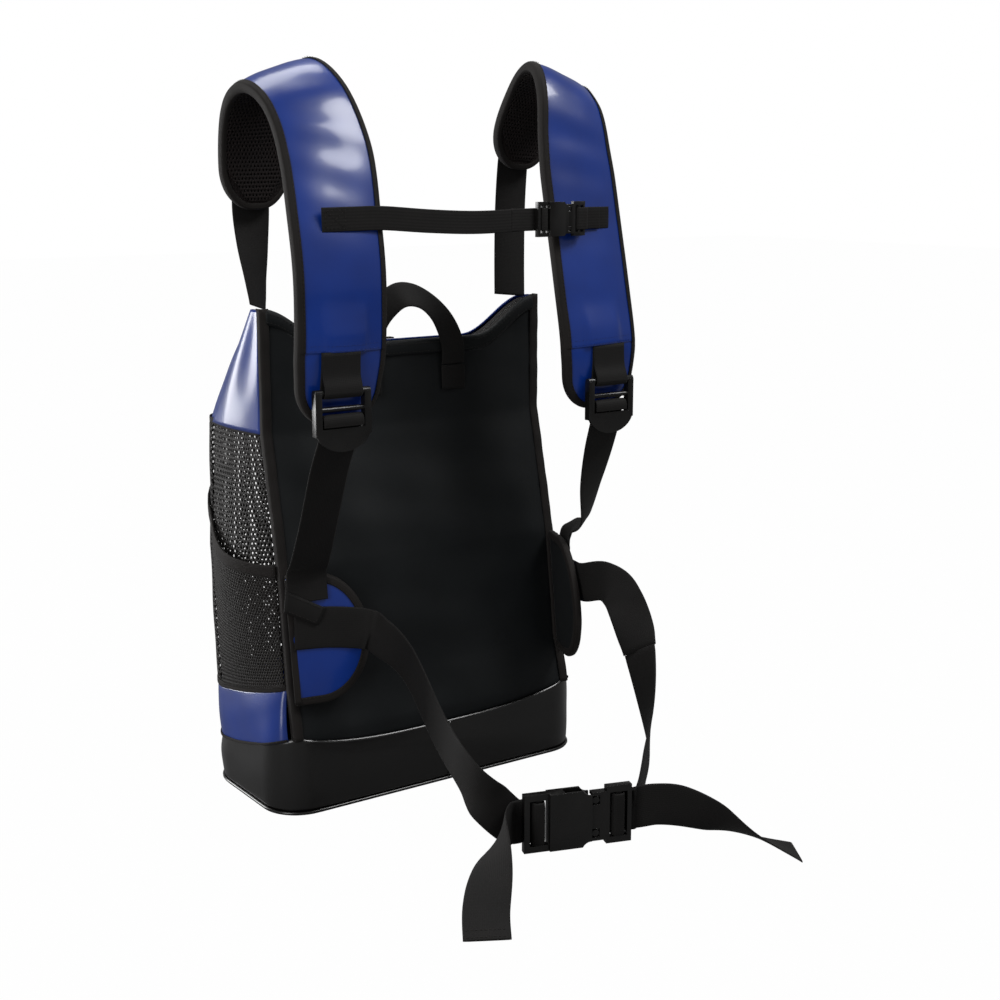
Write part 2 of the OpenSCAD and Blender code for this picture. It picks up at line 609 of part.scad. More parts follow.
// A buckle's own frame: X along the webbing from housing to latch, Y through
// it, Z across the webbing, with the housing's mouth at X = 0
waist_mouth = [4, -311, 44];
waist_yaw = -18;
chest_mouth = [104, -139, 541];
chest_yaw = 6;
chest_scale = 0.6;
slot_half = 20.2;
function placed(at, yaw, k, p) = at + k * [p[0] * cos(yaw) - p[1] * sin(yaw),
    p[0] * sin(yaw) + p[1] * cos(yaw), p[2]];

// Webbing's way round a buckle's middle bar, with that bar at X = bar and the
// webbing coming from and leaving towards side s
function wrap_points(bar, s) = [for (q = [[21, 7.8], [11, 7.8], [0, 7.4], [-4.8, 4],
    [-5.2, 0], [-4, -4.6], [0, -5.6], [4, -4.6], [5.2, 0], [7, 4.2], [11, 5.2], [20, 5.2]])
    [bar + s * q[0], q[1], 0]];
housing_bar = -47;
latch_bar = 25;
up = [0, 0, 1];
fin_up = [0, fin_lean, 1];

sewn_h = fin_t + 0.3 + belt_t / 2;
left_belt_sewn = [fin_point(-1, 3, sewn_h, 12), fin_point(-1, 30, sewn_h, 11),
    fin_point(-1, 54, sewn_h + 0.4, 8), fin_point(-1, 70, sewn_h + 3.8, 5),
    fin_point(-1, 79, sewn_h + 11, 0)];
left_belt_free = [[-68, -134, 146], [-78, -200, 107], [-88, -250, 90], [-82, -276, 70]];
left_belt_tail = [[-72, -293, 45], [-93, -308, 40], [-118, -337, 28], [-136, -358, 14],
    [-148, -377, 2]];
left_belt_route = concat(left_belt_sewn, left_belt_free,
    [for (q = wrap_points(housing_bar, -1)) placed(waist_mouth, waist_yaw, 1, q)],
    left_belt_tail);
left_belt_widths = concat([fin_up, fin_up, fin_up, fin_up, fin_up], [[0, -0.25, 1], [0, -0.3, 1], [0, -0.2, 1], up],
    [for (q = wrap_points(housing_bar, -1)) up],
    [[0.2, 0, 1], [0.6, -0.3, 0.8], [0.8, -0.5, 0.3], [0.82, -0.57, 0], [0.82, -0.57, 0]]);
module left_belt() {
    color(black) webbing(left_belt_route, left_belt_widths, belt_w, belt_t, 3);
}

right_belt_sewn = [fin_point(1, 3, sewn_h, 21), fin_point(1, 32, sewn_h, 21),
    fin_point(1, 56, sewn_h + 0.4, 22), fin_point(1, 72, sewn_h + 2.6, 24)];
right_belt_free = [[135, -165, 199], [141, -185, 186], [140, -212, 142], [116, -256, 82],
    [80, -292, 62]];
right_belt_tail = [[62, -330, 47], [80, -342, 45], [102, -362, 36], [134, -386, 17],
    [162, -402, 3]];
right_belt_route = concat(right_belt_sewn, right_belt_free,
    [for (q = wrap_points(latch_bar, 1)) placed(waist_mouth, waist_yaw, 1, q)],
    right_belt_tail);
right_belt_widths = concat([fin_up, fin_up, fin_up, fin_up],
    [[0.2, 0, 1], [0.3, 0.1, 1], [0.3, 0.2, 1], [0.2, 0.2, 1], up],
    [for (q = wrap_points(latch_bar, 1)) up],
    [up, [-0.2, 0.1, 1], [-0.5, 0, 0.8], [-0.55, -0.75, 0.35], [-0.55, -0.8, 0]]);
module right_belt() {
    color(black) webbing(right_belt_route, right_belt_widths, belt_w, belt_t, 3);
}

// ---- side-release buckles ---------------------------------------------------

module slotted_frame(from, to, slots) {
    difference() {
        translate([from, -3.5, -26]) cube([to - from, 7, 52]);
        for (x = slots) translate([x, -4, -slot_half]) cube([5.5, 8, 2 * slot_half]);
    }
}
module housing() {
    difference() {
        union() {
            slotted_frame(-60, -36, []);
            translate([-38, -6.6, -25.5]) cube([38, 13.2, 51]);
        }
        for (x = [housing_bar - 8, housing_bar + 2.5])
            translate([x, -4, -slot_half]) cube([5.5, 8, 2 * slot_half]);
        translate([-31, -4.4, -21.6]) cube([32, 8.8, 43.2]);
        for (s = [-1, 1]) {
            translate([-24, -4.4, s > 0 ? 21 : -27]) cube([15, 8.8, 6]);
            translate([-1, 0, s * 29]) rotate([90, 0, 0])
                cylinder(h = 20, r = 8, center = true, $fn = 48);
        }
    }
}
prong_x = 4.2;
prong_z = 15;
module latch() {
    difference() {
        union() {
            translate([0.6, -3.8, -22]) cube([13.6, 7.6, 44]);
            slotted_frame(14, 37, [latch_bar - 8, latch_bar + 2.5]);
            translate([-27, -3, -5]) cube([28, 6, 10]);
        }
        for (s = [-1, 1]) translate([0, -5, s * prong_z - 4]) cube([prong_x + 3.6, 10, 8]);
    }
}
module prong(s) {
    mirror([0, 0, s > 0 ? 0 : 1]) {
        rotate([90, 0, 0]) linear_extrude(6, center = true) polygon([[prong_x, 13],
            [-16, 13], [-26, 14.6], [-26, 17], [-12, 20.6], [-9, 17.2], [prong_x, 17]]);
        translate([prong_x, 0, prong_z]) rotate([90, 0, 0])
            cylinder(h = 7, r = 3, center = true, $fn = 48);
    }
}
module at_waist() { translate(waist_mouth) rotate([0, 0, waist_yaw]) children(); }
module at_chest() {
    translate(chest_mouth) rotate([0, 0, chest_yaw]) scale(chest_scale) children();
}
module waist_housing() { color(coal) at_waist() housing(); }
module waist_latch() { color(coal) at_waist() latch(); }
module waist_prong_upper() { color(coal) at_waist() prong(1); }
module waist_prong_lower() { color(coal) at_waist() prong(-1); }
module chest_housing() { color(coal) at_chest() housing(); }
module chest_latch() { color(coal) at_chest() latch(); }
module chest_prong_upper() { color(coal) at_chest() prong(1); }
module chest_prong_lower() { color(coal) at_chest() prong(-1); }

// ---- chest strap --------------------------------------------------------------

chest_t = 1.2;
left_chest_route = concat([[-156, -152.7, 545], [-126, -154.5, 545.5], [-98, -154, 545.5],
    [-50, -152, 542], [0, -149, 540]],
    [for (q = wrap_points(housing_bar, -1)) placed(chest_mouth, chest_yaw, chest_scale, q)],
    [[40, -142.8, 541]]);
module left_chest_webbing() {
    color(black) webbing(left_chest_route, [for (p = left_chest_route) up], chest_w, chest_t, 3);
}
// Short webbing sewn to the right pad, looped through the latch
right_chest_route = concat([[163, -127, 541], [146, -129, 541], [132, -129.9, 541]],
    [for (q = [[32, 7.4], [25, 7], [20.6, 4], [19.8, 0], [21, -4.6], [25, -5.6], [32, -5.6],
        [38, -5.8], [44, -0.6]]) placed(chest_mouth, chest_yaw, chest_scale, [q[0], q[1], 0])],
    [[134, -131.6, 541], [150, -130.2, 541]]);
module right_chest_webbing() {
    color(black) webbing(right_chest_route, [for (p = right_chest_route) up],
        chest_w, chest_t, 3);
}

wearer_panel();
wearer_panel_foam();
outer_top_panel();
outer_mesh_panel();
left_top_gusset();
right_top_gusset();
left_mesh_panel();
right_mesh_panel();
left_mesh_pocket();
right_mesh_pocket();
lower_band();
left_edge_binding();
right_edge_binding();
top_hem();
base_boot();
base_floor();
base_board();
base_piping();
zip_tape();
zip_slider();
zip_pull();
handle_patches();
grab_handle();
left_upper_webbing();
right_upper_webbing();
left_pad_vinyl();
left_pad_foam();
left_pad_lining();
left_pad_binding();
right_pad_vinyl();
right_pad_foam();
right_pad_lining();
right_pad_binding();
left_ladder_loop();
right_ladder_loop();
left_ladder_lock();
right_ladder_lock();
left_lower_webbing();
right_lower_webbing();
left_fin_tab();
right_fin_tab();
left_hip_fin();
right_hip_fin();
left_fin_lining();
right_fin_lining();
left_fin_binding();
right_fin_binding();
left_belt();
right_belt();
waist_housing();
waist_latch();
waist_prong_upper();
waist_prong_lower();
left_chest_webbing();
right_chest_webbing();
chest_housing();
chest_latch();
chest_prong_upper();
chest_prong_lower();
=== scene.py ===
# %% [markdown]
# # A harness bag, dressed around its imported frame
# The frame holds the bag's nodes, joints and clips. This script gives each part
# its cloth, vinyl, webbing or moulded finish. Many sizes and strap routes here
# repeat the design's. Lengths in the code are in
# millimetres until a mesh is made, because that is how a bag maker thinks.

import bmesh
import bpy
import numpy as np
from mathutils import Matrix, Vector


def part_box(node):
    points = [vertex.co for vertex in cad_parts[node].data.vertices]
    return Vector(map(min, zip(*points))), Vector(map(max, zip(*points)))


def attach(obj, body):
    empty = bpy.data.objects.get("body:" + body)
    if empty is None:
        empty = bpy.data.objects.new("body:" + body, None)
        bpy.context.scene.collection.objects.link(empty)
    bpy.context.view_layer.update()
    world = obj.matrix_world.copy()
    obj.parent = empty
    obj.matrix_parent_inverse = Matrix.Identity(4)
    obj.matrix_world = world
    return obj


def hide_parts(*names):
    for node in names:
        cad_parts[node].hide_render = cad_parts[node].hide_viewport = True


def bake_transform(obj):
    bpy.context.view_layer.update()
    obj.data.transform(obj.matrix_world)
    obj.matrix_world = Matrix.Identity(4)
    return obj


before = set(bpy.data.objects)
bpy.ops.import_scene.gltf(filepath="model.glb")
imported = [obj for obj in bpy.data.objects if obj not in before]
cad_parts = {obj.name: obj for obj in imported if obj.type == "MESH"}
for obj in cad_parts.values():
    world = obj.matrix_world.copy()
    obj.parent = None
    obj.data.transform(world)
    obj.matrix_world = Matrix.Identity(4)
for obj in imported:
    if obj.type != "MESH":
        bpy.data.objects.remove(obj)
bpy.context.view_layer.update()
MM = 0.001
SIDES = ((-1, "left"), (1, "right"))


# %% [markdown]
# ## Camera first
# The bag is seen from its wearer's side, from the left and a little above. A
# long lens keeps the two shoulder pads nearly the same size.

# %% Camera
CAMERA_AT = np.array([-779, -1296, 587]) * MM
LOOKS_AT = np.array([20, -154, 291]) * MM
LENS = 56.4


def aim(thing, at, target):
    """Puts a thing at a point and turns its -Z axis towards target."""
    thing.location = at
    thing.rotation_euler = (Vector(target) - Vector(at)).to_track_quat("-Z", "Y").to_euler()


camera_data = bpy.data.cameras.new("camera")
camera_data.lens = LENS
camera_data.clip_start = 0.05
camera = bpy.data.objects.new("camera", camera_data)
bpy.context.scene.collection.objects.link(camera)
aim(camera, CAMERA_AT, LOOKS_AT)
bpy.context.scene.camera = camera
print("camera", CAMERA_AT, "lens", LENS, "mm")


# %% [markdown]
# ## Turning ideas into meshes
# Every new piece is a grid of points worked out with whole numpy arrays. A
# grid's rows and columns give its faces by counting, so one helper can build
# open sheets, tubes that close round their section, and closed rings.

# %% Mesh helpers
def grid_faces(rows, cols, wrap_rows=False, wrap_cols=False):
    """Quads between neighbouring points of a rows x cols grid, as index array."""
    r = np.arange(rows if wrap_rows else rows - 1)
    c = np.arange(cols if wrap_cols else cols - 1)
    r, c = np.meshgrid(r, c, indexing="ij")
    r2, c2 = (r + 1) % rows, (c + 1) % cols
    return np.stack([r * cols + c, r * cols + c2, r2 * cols + c2, r2 * cols + c], -1).reshape(-1, 4)


def make(name, points, faces, uv=None):
    """A smooth-shaded object from points in mm, faces and an optional UV per point."""
    mesh = bpy.data.meshes.new(name)
    mesh.from_pydata((np.asarray(points, float).reshape(-1, 3) * MM).tolist(), [],
                     [list(map(int, f)) for f in faces])
    mesh.update()
    if uv is not None:
        corner = np.zeros(len(mesh.loops), int)
        mesh.loops.foreach_get("vertex_index", corner)
        layer = mesh.uv_layers.new(name="cloth")
        layer.data.foreach_set("uv", (uv.reshape(-1, 2)[corner] * MM).ravel())
    mesh.polygons.foreach_set("use_smooth", np.ones(len(mesh.polygons), bool))
    piece = bpy.data.objects.new(name, mesh)
    bpy.context.scene.collection.objects.link(piece)
    return piece


def thicken(piece, thickness, offset=-1.0):
    """Gives a sheet a real thickness in mm, inwards from its face by default."""
    solid = piece.modifiers.new("thickness", "SOLIDIFY")
    solid.thickness = thickness * MM
    solid.offset = offset
    return piece


def soften(piece):
    """Rounds a piece with a subdivision surface."""
    smooth = piece.modifiers.new("soft", "SUBSURF")
    smooth.levels = smooth.render_levels = 1
    return piece


def dress(piece, material, slot, body, *nodes):
    """Gives a piece its finish, the body it moves with and the nodes it stands for."""
    piece.data.materials.clear()
    piece.data.materials.append(material)
    if body:
        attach(piece, body)
    if nodes:
        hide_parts(*nodes)
    return piece


# %% [markdown]
# ## Carrying a section along a path
# Webbing, bound edges and piping are all one idea: a small flat section that
# travels along a smooth line. The line runs through a few chosen points, and a
# second list says which way the width points at each of them.

# %% Paths and ribbons
def smooth_path(points, steps):
    """Catmull-Rom curve through the points: each span is a cubic in t whose end
    slopes are half the step between its neighbours."""
    p = np.asarray(points, float)
    i = np.arange(len(p) - 1)
    a, b = p[np.maximum(i - 1, 0)], p[i]
    c, d = p[i + 1], p[np.minimum(i + 2, len(p) - 1)]
    t = (np.arange(steps) / steps)[None, :, None]
    a, b, c, d = (v[:, None, :] for v in (a, b, c, d))
    q = 0.5 * (2 * b + (c - a) * t + (2 * a - 5 * b + 4 * c - d) * t ** 2
               + (3 * b - 3 * c + d - a) * t ** 3)
    return np.vstack([q.reshape(-1, 3), p[-1:]])


def unit(v):
    """Vectors scaled to length one along the last axis."""
    return v / np.maximum(np.linalg.norm(v, axis=-1, keepdims=True), 1e-9)


def run_lengths(path):
    """Distance from the start to each point of a path."""
    return np.concatenate([[0], np.cumsum(np.linalg.norm(np.diff(path, axis=0), axis=1))])


def side_and_normal(path, widths, closed=False):
    """Directions across and through a ribbon: the width made square to the path,
    and their cross product."""
    if closed:
        along = unit(np.roll(path, -1, 0) - np.roll(path, 1, 0))
    else:
        along = unit(np.gradient(path, axis=0))
    side = unit(widths - (widths * along).sum(1, keepdims=True) * along)
    return side, np.cross(side, along)


def strap_section(width, thickness, ribs=9):
    """Closed section of woven webbing: flat faces, thinner rounded selvages."""
    u = np.cos(np.linspace(0, np.pi, ribs))
    edge = 0.5 * thickness * (1 - np.abs(u) ** 12 * 0.55)
    top = np.stack([u * width / 2, edge], 1)
    return np.vstack([top, np.stack([u[::-1] * width / 2, -edge[::-1]], 1)])


def spread(*values):
    """Points from coordinates that spread over each other's rows and columns."""
    return np.stack(np.broadcast_arrays(*values), -1)


def between(at, s, values):
    """Vectors read off a line at distances along it, s being its run lengths."""
    return np.stack([np.interp(at, s, values[:, k]) for k in range(3)], -1)


def skin(name, rings, closed=False, uv=None):
    """A closed form through rings of points: quads between rings, and where the
    ends are open, strips that join each ring's first half to its second."""
    rows, cols = rings.shape[:2]
    faces = grid_faces(rows, cols, closed, True).tolist()
    if not closed:
        strip = [[j, j + 1, cols - 2 - j, cols - 1 - j] for j in range(cols // 2 - 1)]
        last = (rows - 1) * cols
        faces += [f[::-1] for f in strip] + [[last + k for k in f] for f in strip]
    return outward(make(name, rings, faces, uv))


def slab(name, face, back):
    """A closed form between two grids of points with the same rows."""
    return skin(name, np.concatenate([face, back[:, ::-1]], 1))


def outward(piece):
    """Turns every face of a closed form outwards."""
    work = bmesh.new()
    work.from_mesh(piece.data)
    bmesh.ops.recalc_face_normals(work, faces=work.faces)
    work.to_mesh(piece.data)
    work.free()
    return piece


def carry(name, path, widths, section, closed=False):
    """Sweeps a closed section along a path. A point is path + side*x + normal*y.
    The UV is the distance along the path and the distance across."""
    side, normal = side_and_normal(path, widths, closed)
    x, y = section[:, 0], section[:, 1]
    points = path[:, None] + side[:, None] * x[None, :, None] + normal[:, None] * y[None, :, None]
    uv = spread(run_lengths(path)[:, None], x[None, :])
    return skin(name, points, closed, uv)


def webbing(name, route, widths, width, thickness, steps=10):
    """Flat woven strap along a route of chosen points."""
    path = smooth_path(route, steps)
    return carry(name, path, smooth_path(widths, steps), strap_section(width, thickness))


print("helpers ready")


# %% [markdown]
# ## Stitches
# Thread shows as short beads that dip into the cloth at both ends. Each bead is
# a small six-sided spindle with only a few faces, because there are hundreds.

# %% Stitch helper
def stitches(name, line, normals, pitch=3.6, length=2.5, radius=0.28, lift=0.1):
    """Beads spaced along a line: ring r of a bead sits at fraction f of its
    length, with radius times sin(pi f), lifted along the surface normal."""
    s = run_lengths(line)
    at = np.arange(pitch / 2, s[-1], pitch)
    centre = between(at, s, line)
    up = unit(between(at, s, normals))
    ahead = between(at + 0.4, s, line)
    behind = between(at - 0.4, s, line)
    along = unit(ahead - behind)
    across = np.cross(up, along)
    f = np.array([0.04, 0.3, 0.7, 0.96])
    turn = np.arange(6) * np.pi / 3
    r = radius * np.sin(np.pi * f)
    points = (centre[:, None, None] + up[:, None, None] * lift
              + along[:, None, None] * ((f - 0.5) * length)[None, :, None, None]
              + across[:, None, None] * (r[:, None] * np.cos(turn))[None, :, :, None]
              + up[:, None, None] * (r[:, None] * np.sin(turn))[None, :, :, None])
    one = grid_faces(4, 6, False, True)
    ends = np.array([[0, 5, 4, 3], [0, 3, 2, 1], [18, 19, 20, 21], [18, 21, 22, 23]])
    one = np.vstack([one, ends])
    faces = (one[None] + (np.arange(len(at)) * 24)[:, None, None]).reshape(-1, 4)
    return make(name, points, faces)


# %% [markdown]
# ## Materials
# Each finish starts from what the real cloth or plastic is. One function turns
# sRGB hex into linear colour and one adds a shader node.

# %% Material helpers
def linear(hex_colour):
    """sRGB hex to a linear RGBA tuple: c/12.92 below 0.04045, else a 2.4 power."""
    c = np.array([int(hex_colour[k:k + 2], 16) for k in (1, 3, 5)]) / 255
    c = np.where(c <= 0.04045, c / 12.92, ((c + 0.055) / 1.055) ** 2.4)
    return (*c.tolist(), 1.0)


def add(material, kind, settings=None, links=None):
    """Adds a node, sets its sockets or properties by name, and links inputs."""
    tree = material.node_tree
    node = tree.nodes.new(kind)
    for key, value in (settings or {}).items():
        if key in node.inputs:
            node.inputs[key].default_value = value
        else:
            setattr(node, key, value)
    for key, source in (links or {}).items():
        tree.links.new(source, node.inputs[key])
    return node


def finish(name, settings):
    """A new material with one Principled shader, set from a dict."""
    material = bpy.data.materials.new(name)
    material.use_nodes = True
    material.node_tree.nodes.clear()
    shader = add(material, "ShaderNodeBsdfPrincipled", settings)
    add(material, "ShaderNodeOutputMaterial", None, {"Surface": shader.outputs["BSDF"]})
    return material, shader


def tint(material, shader, factor, low, high):
    """Base colour that runs between two hex colours with a factor."""
    ramp = add(material, "ShaderNodeValToRGB", None, {"Fac": factor})
    ramp.color_ramp.elements[0].color = linear(low)
    ramp.color_ramp.elements[1].color = linear(high)
    material.node_tree.links.new(ramp.outputs["Color"], shader.inputs["Base Color"])


def relief(material, shader, height, distance, strength):
    """Bump of a given depth in mm from a height between 0 and 1."""
    bump = add(material, "ShaderNodeBump", {"Strength": strength, "Distance": distance * MM},
               {"Height": height})
    material.node_tree.links.new(bump.outputs["Normal"], shader.inputs["Normal"])


def per_mm(size):
    """Texture scale that repeats about every size mm in metre coordinates."""
    return 1 / (size * MM)


# %% [markdown]
# Coated vinyl (PVC on a knit) has a wet, smooth top coat over a faint leather
# grain, so it takes broad soft highlights. Grain is about 1.1 mm.

# %% Vinyl
def vinyl(name, low, high, roughness, coat, grain_depth):
    """PVC leathercloth: grain from cells, slow colour drift from noise."""
    material, shader = finish(name, {"Roughness": roughness, "Coat Weight": coat,
                                     "Coat Roughness": 0.12, "IOR": 1.52})
    where = add(material, "ShaderNodeTexCoord").outputs["Object"]
    drift = add(material, "ShaderNodeTexNoise", {"Scale": per_mm(60), "Detail": 3.0},
                {"Vector": where})
    tint(material, shader, drift.outputs["Fac"], low, high)
    grain = add(material, "ShaderNodeTexVoronoi",
                {"Scale": per_mm(1.1), "feature": "SMOOTH_F1"}, {"Vector": where})
    relief(material, shader, grain.outputs["Distance"], grain_depth, 0.5)
    return material


BLUE_VINYL = vinyl("blue PVC leathercloth", "#04246C", "#083A9A", 0.33, 0.4, 0.05)
BLACK_VINYL = vinyl("black PVC leathercloth", "#050404", "#0A0908", 0.28, 0.35, 0.06)


# %% [markdown]
# Woven goods are read from their own UV map, in metres along and across, so
# the ribs follow each strap wherever it turns.

# %% Woven cloth
def woven(name, low, high, along_mm, across_mm, depth, roughness=0.75, sheen=0.03,
          coords="UV"):
    """Warp and weft as two crossed sine waves multiplied together."""
    material, shader = finish(name, {"Roughness": roughness, "Sheen Weight": sheen,
                                     "Sheen Roughness": 0.4, "Specular IOR Level": 0.28})
    where = add(material, "ShaderNodeTexCoord").outputs[coords]
    waves = []
    for axis, size in (("X", along_mm), ("Y" if coords == "UV" else "Z", across_mm)):
        wave = add(material, "ShaderNodeTexWave", {"Scale": per_mm(size) * np.pi / 10,
                   "bands_direction": axis, "Distortion": 0.0}, {"Vector": where})
        waves.append(wave.outputs["Fac"])
    both = add(material, "ShaderNodeMath", {"operation": "MULTIPLY"})
    material.node_tree.links.new(waves[0], both.inputs[0])
    material.node_tree.links.new(waves[1], both.inputs[1])
    mottle = add(material, "ShaderNodeTexNoise", {"Scale": per_mm(30), "Detail": 4.0},
                 {"Vector": add(material, "ShaderNodeTexCoord").outputs["Object"]})
    mix = add(material, "ShaderNodeMath", {"operation": "MULTIPLY_ADD"})
    material.node_tree.links.new(both.outputs["Value"], mix.inputs[0])
    mix.inputs[1].default_value = 0.6
    material.node_tree.links.new(mottle.outputs["Fac"], mix.inputs[2])
    tint(material, shader, mix.outputs["Value"], low, high)
    relief(material, shader, both.outputs["Value"], depth, 0.8)
    return material


NYLON = woven("black coated nylon", "#07090B", "#101416", 1.1, 1.1, 0.05, 0.6, 0.04, "Object")
WIDE_WEBBING = woven("black polyester webbing", "#080808", "#171514", 1.4, 1.7, 0.12)
RIBBED_WEBBING = woven("ribbed black webbing", "#080808", "#1A1817", 1.2, 2.6, 0.2)
TAPE = woven("black grosgrain binding", "#0D0B0A", "#1E1A18", 0.9, 1.6, 0.1)
AIR_MESH = woven("black air mesh", "#060506", "#1C1413", 3.4, 3.4, 0.5, 0.85)
MESH_YARN = woven("black mesh yarn", "#080707", "#1A1614", 0.8, 0.8, 0.06, 0.6)
THREAD = woven("black thread", "#141312", "#2A2623", 0.5, 0.5, 0.03, 0.6, 0.03, "Object")
BLUE_THREAD = woven("blue thread", "#122A70", "#1D3C90", 0.5, 0.5, 0.03, 0.6, 0.03, "Object")


# %% [markdown]
# Clips are moulded acetal or nylon: a fine spark-eroded texture, slightly
# shiny where handled. The zip's slider is painted zinc.

# %% Moulded plastic and painted metal
def moulded(name, low, high, roughness, grain, metallic=0.0):
    """Fine pitted skin from a small noise, with patchy gloss."""
    material, shader = finish(name, {"Metallic": metallic, "IOR": 1.5})
    where = add(material, "ShaderNodeTexCoord").outputs["Object"]
    pits = add(material, "ShaderNodeTexNoise", {"Scale": per_mm(grain), "Detail": 2.0},
               {"Vector": where})
    patch = add(material, "ShaderNodeTexNoise", {"Scale": per_mm(14)}, {"Vector": where})
    tint(material, shader, patch.outputs["Fac"], low, high)
    gloss = add(material, "ShaderNodeMapRange", {"To Min": roughness - 0.06,
                "To Max": roughness + 0.08}, {"Value": patch.outputs["Fac"]})
    material.node_tree.links.new(gloss.outputs["Result"], shader.inputs["Roughness"])
    relief(material, shader, pits.outputs["Fac"], 0.05, 0.4)
    return material


PLASTIC = moulded("black moulded acetal", "#0C0B0B", "#161514", 0.28, 0.7)
PAINTED_ZINC = moulded("painted zinc", "#1A1A1B", "#2A2A2C", 0.35, 0.9, 0.4)
STIFFENER = moulded("black polyethylene board", "#141414", "#1D1D1D", 0.5, 1.2)
print(len(bpy.data.materials), "materials")


# %% [markdown]
# ## The bag's outline
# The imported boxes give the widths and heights. From the base the wearer's side
# leans back, the outer face swells, and both meet in a closed ridge that sags
# between its two high corners.

# %% Outline functions
def low(node):
    """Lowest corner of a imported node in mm."""
    return np.array(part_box(node)[0]) / MM


def high(node):
    """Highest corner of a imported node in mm."""
    return np.array(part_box(node)[1]) / MM


BASE_TOP = high("base_boot")[2]
BAND_TOP = high("lower_band")[2]
SHOULDER = high("outer_mesh_panel")[2]
RIDGE = high("left_edge_binding")[2]
BASE_W = high("base_boot")[0]
FRONT, REAR = low("base_boot")[1], high("base_boot")[1]
SHOULDER_REAR = high("outer_mesh_panel")[1]
TOP_W, RIDGE_SAG, LEAN, BULGE = 152.0, 36.0, 54.0, 9.0
FRONT_R, REAR_R, DIP, DROP = 36.0, 50.0, 14.0, 22.0
BELLY = 230.0         # height between band and shoulders where the curves change


def half_w(z):
    """Half width at the wearer's seams: 3 mm narrower at the top than at the base."""
    return np.interp(z, [BASE_TOP, BAND_TOP, SHOULDER], [TOP_W + 3, TOP_W + 2, TOP_W])


def rear_out(z):
    """How much wider the bag is at its outer corners than at the seams."""
    return np.interp(z, [BASE_TOP, BAND_TOP, BELLY, SHOULDER, RIDGE], [16, 15, 13, 5, 0])


def side_out(k, z):
    """The sides swell from the seam at k = 0 to the outer corner at k = 1."""
    belly = np.interp(z, [BASE_TOP, BAND_TOP, BELLY, SHOULDER, RIDGE], [4, 6, 7, 3, 0])
    return rear_out(z) * k ** 0.8 + belly * np.sin(np.pi * k)


def band_z(k):
    """The band's top edge falls from the wearer's side to the outer face."""
    return BAND_TOP - DROP * k ** 0.8


def boot_at(x, y):
    """Height of the base's top edge: it dips at the front and falls to the rear."""
    front = BASE_TOP - DIP * (1 - np.minimum(np.abs(x) / TOP_W, 1) ** 3)
    side = np.interp(y, [-77, -46, -20, 10, 40, REAR], [BASE_TOP, 64, 57, 50, 46, 45])
    return np.where((np.abs(x) < TOP_W) & (y < 0), front, side)


def base_x(y):
    """Half width of the base at depth y: a circle at the front corner."""
    rise = np.minimum(0, y - FRONT - FRONT_R) / FRONT_R
    return BASE_W - FRONT_R * (1 - np.sqrt(1 - rise ** 2))


def wearer_y(z):
    """Where the wearer's side seam runs: upright base, then a growing lean."""
    share = np.interp(z, [BASE_TOP, BAND_TOP, BELLY, 292, SHOULDER], [0.046, 0.259, 0.514, 0.762, 1])
    return FRONT + LEAN * share


def ridge_at(x):
    """Height of the ridge: flat low middle, a cosine rise to both corners."""
    u = np.minimum(np.abs(x) / TOP_W, 1)
    return RIDGE - RIDGE_SAG * np.where(u < 0.5, 1, 0.5 + 0.5 * np.cos(2 * np.pi * (u - 0.5)))


def panel_y(x, z):
    """Wearer's panel: the seam line minus a parabola across times a sine upwards."""
    return wearer_y(z) - BULGE * (1 - (x / half_w(z)) ** 2) * np.sin(
        np.pi * (z - BASE_TOP) / (RIDGE - BASE_TOP + 40))


def outer_y(z):
    """The outer face: swells to the shoulder, then runs in to the ridge."""
    return np.interp(z, [BASE_TOP, BAND_TOP, BELLY, SHOULDER, RIDGE],
                     [REAR, REAR + 8, REAR + 17, SHOULDER_REAR, FRONT + LEAN + 22])


def outer_r(z):
    """Plan radius of the outer corners, tight only at the ridge."""
    return np.interp(z, [BASE_TOP, SHOULDER, RIDGE - 2], [REAR_R - 2, 34, 6])


def outer_plan(t, z, out=0.0):
    """The outer face at height z, from the bag's own widths."""
    return rear_turn(t, half_w(z) + rear_out(z), outer_r(z), outer_y(z), z, out)


def rear_turn(t, w, r, y, z, out):
    """Half turn round a rear, t from 0 at the left to 1: a quarter circle, the
    straight face, and a quarter circle."""
    angle = np.clip(t / 0.15, 0, 1) * np.pi / 2 + np.clip((t - 0.85) / 0.15, 0, 1) * np.pi / 2
    run = np.clip((t - 0.15) / 0.7, 0, 1) * 2 - 1
    return spread((w - r) * run - (r + out) * np.cos(angle),
                  y - r + (r + out) * np.sin(angle), z)


def sagged(p):
    """Lowers points above the shoulder in step with the ridge's sag."""
    k = np.maximum(0, (p[..., 2] - SHOULDER) / (RIDGE - SHOULDER))
    return p + np.stack([0 * k, 0 * k, (ridge_at(p[..., 0]) - RIDGE) * k], -1)


def side_point(s, k, z, out=0.0):
    """Point on side s (-1 left, 1 right), k from the wearer's seam to the outer."""
    near = wearer_y(z) + 5
    far = np.maximum(outer_y(z) - outer_r(z), near + 1)
    return spread(s * (half_w(z) + side_out(k, z) + out),
                  near + (far - near) * k, z)


def ripple(x, z, size):
    """Soft cloth folds: three crossed sine waves of different lengths, in mm."""
    return (0.5 * np.sin((0.5 * x + 0.87 * z) / size) + 0.3 * np.sin((0.9 * x - 0.44 * z) / size * 1.7)
            + 0.2 * np.sin((0.2 * x + z) / size * 2.9 + 1.3))


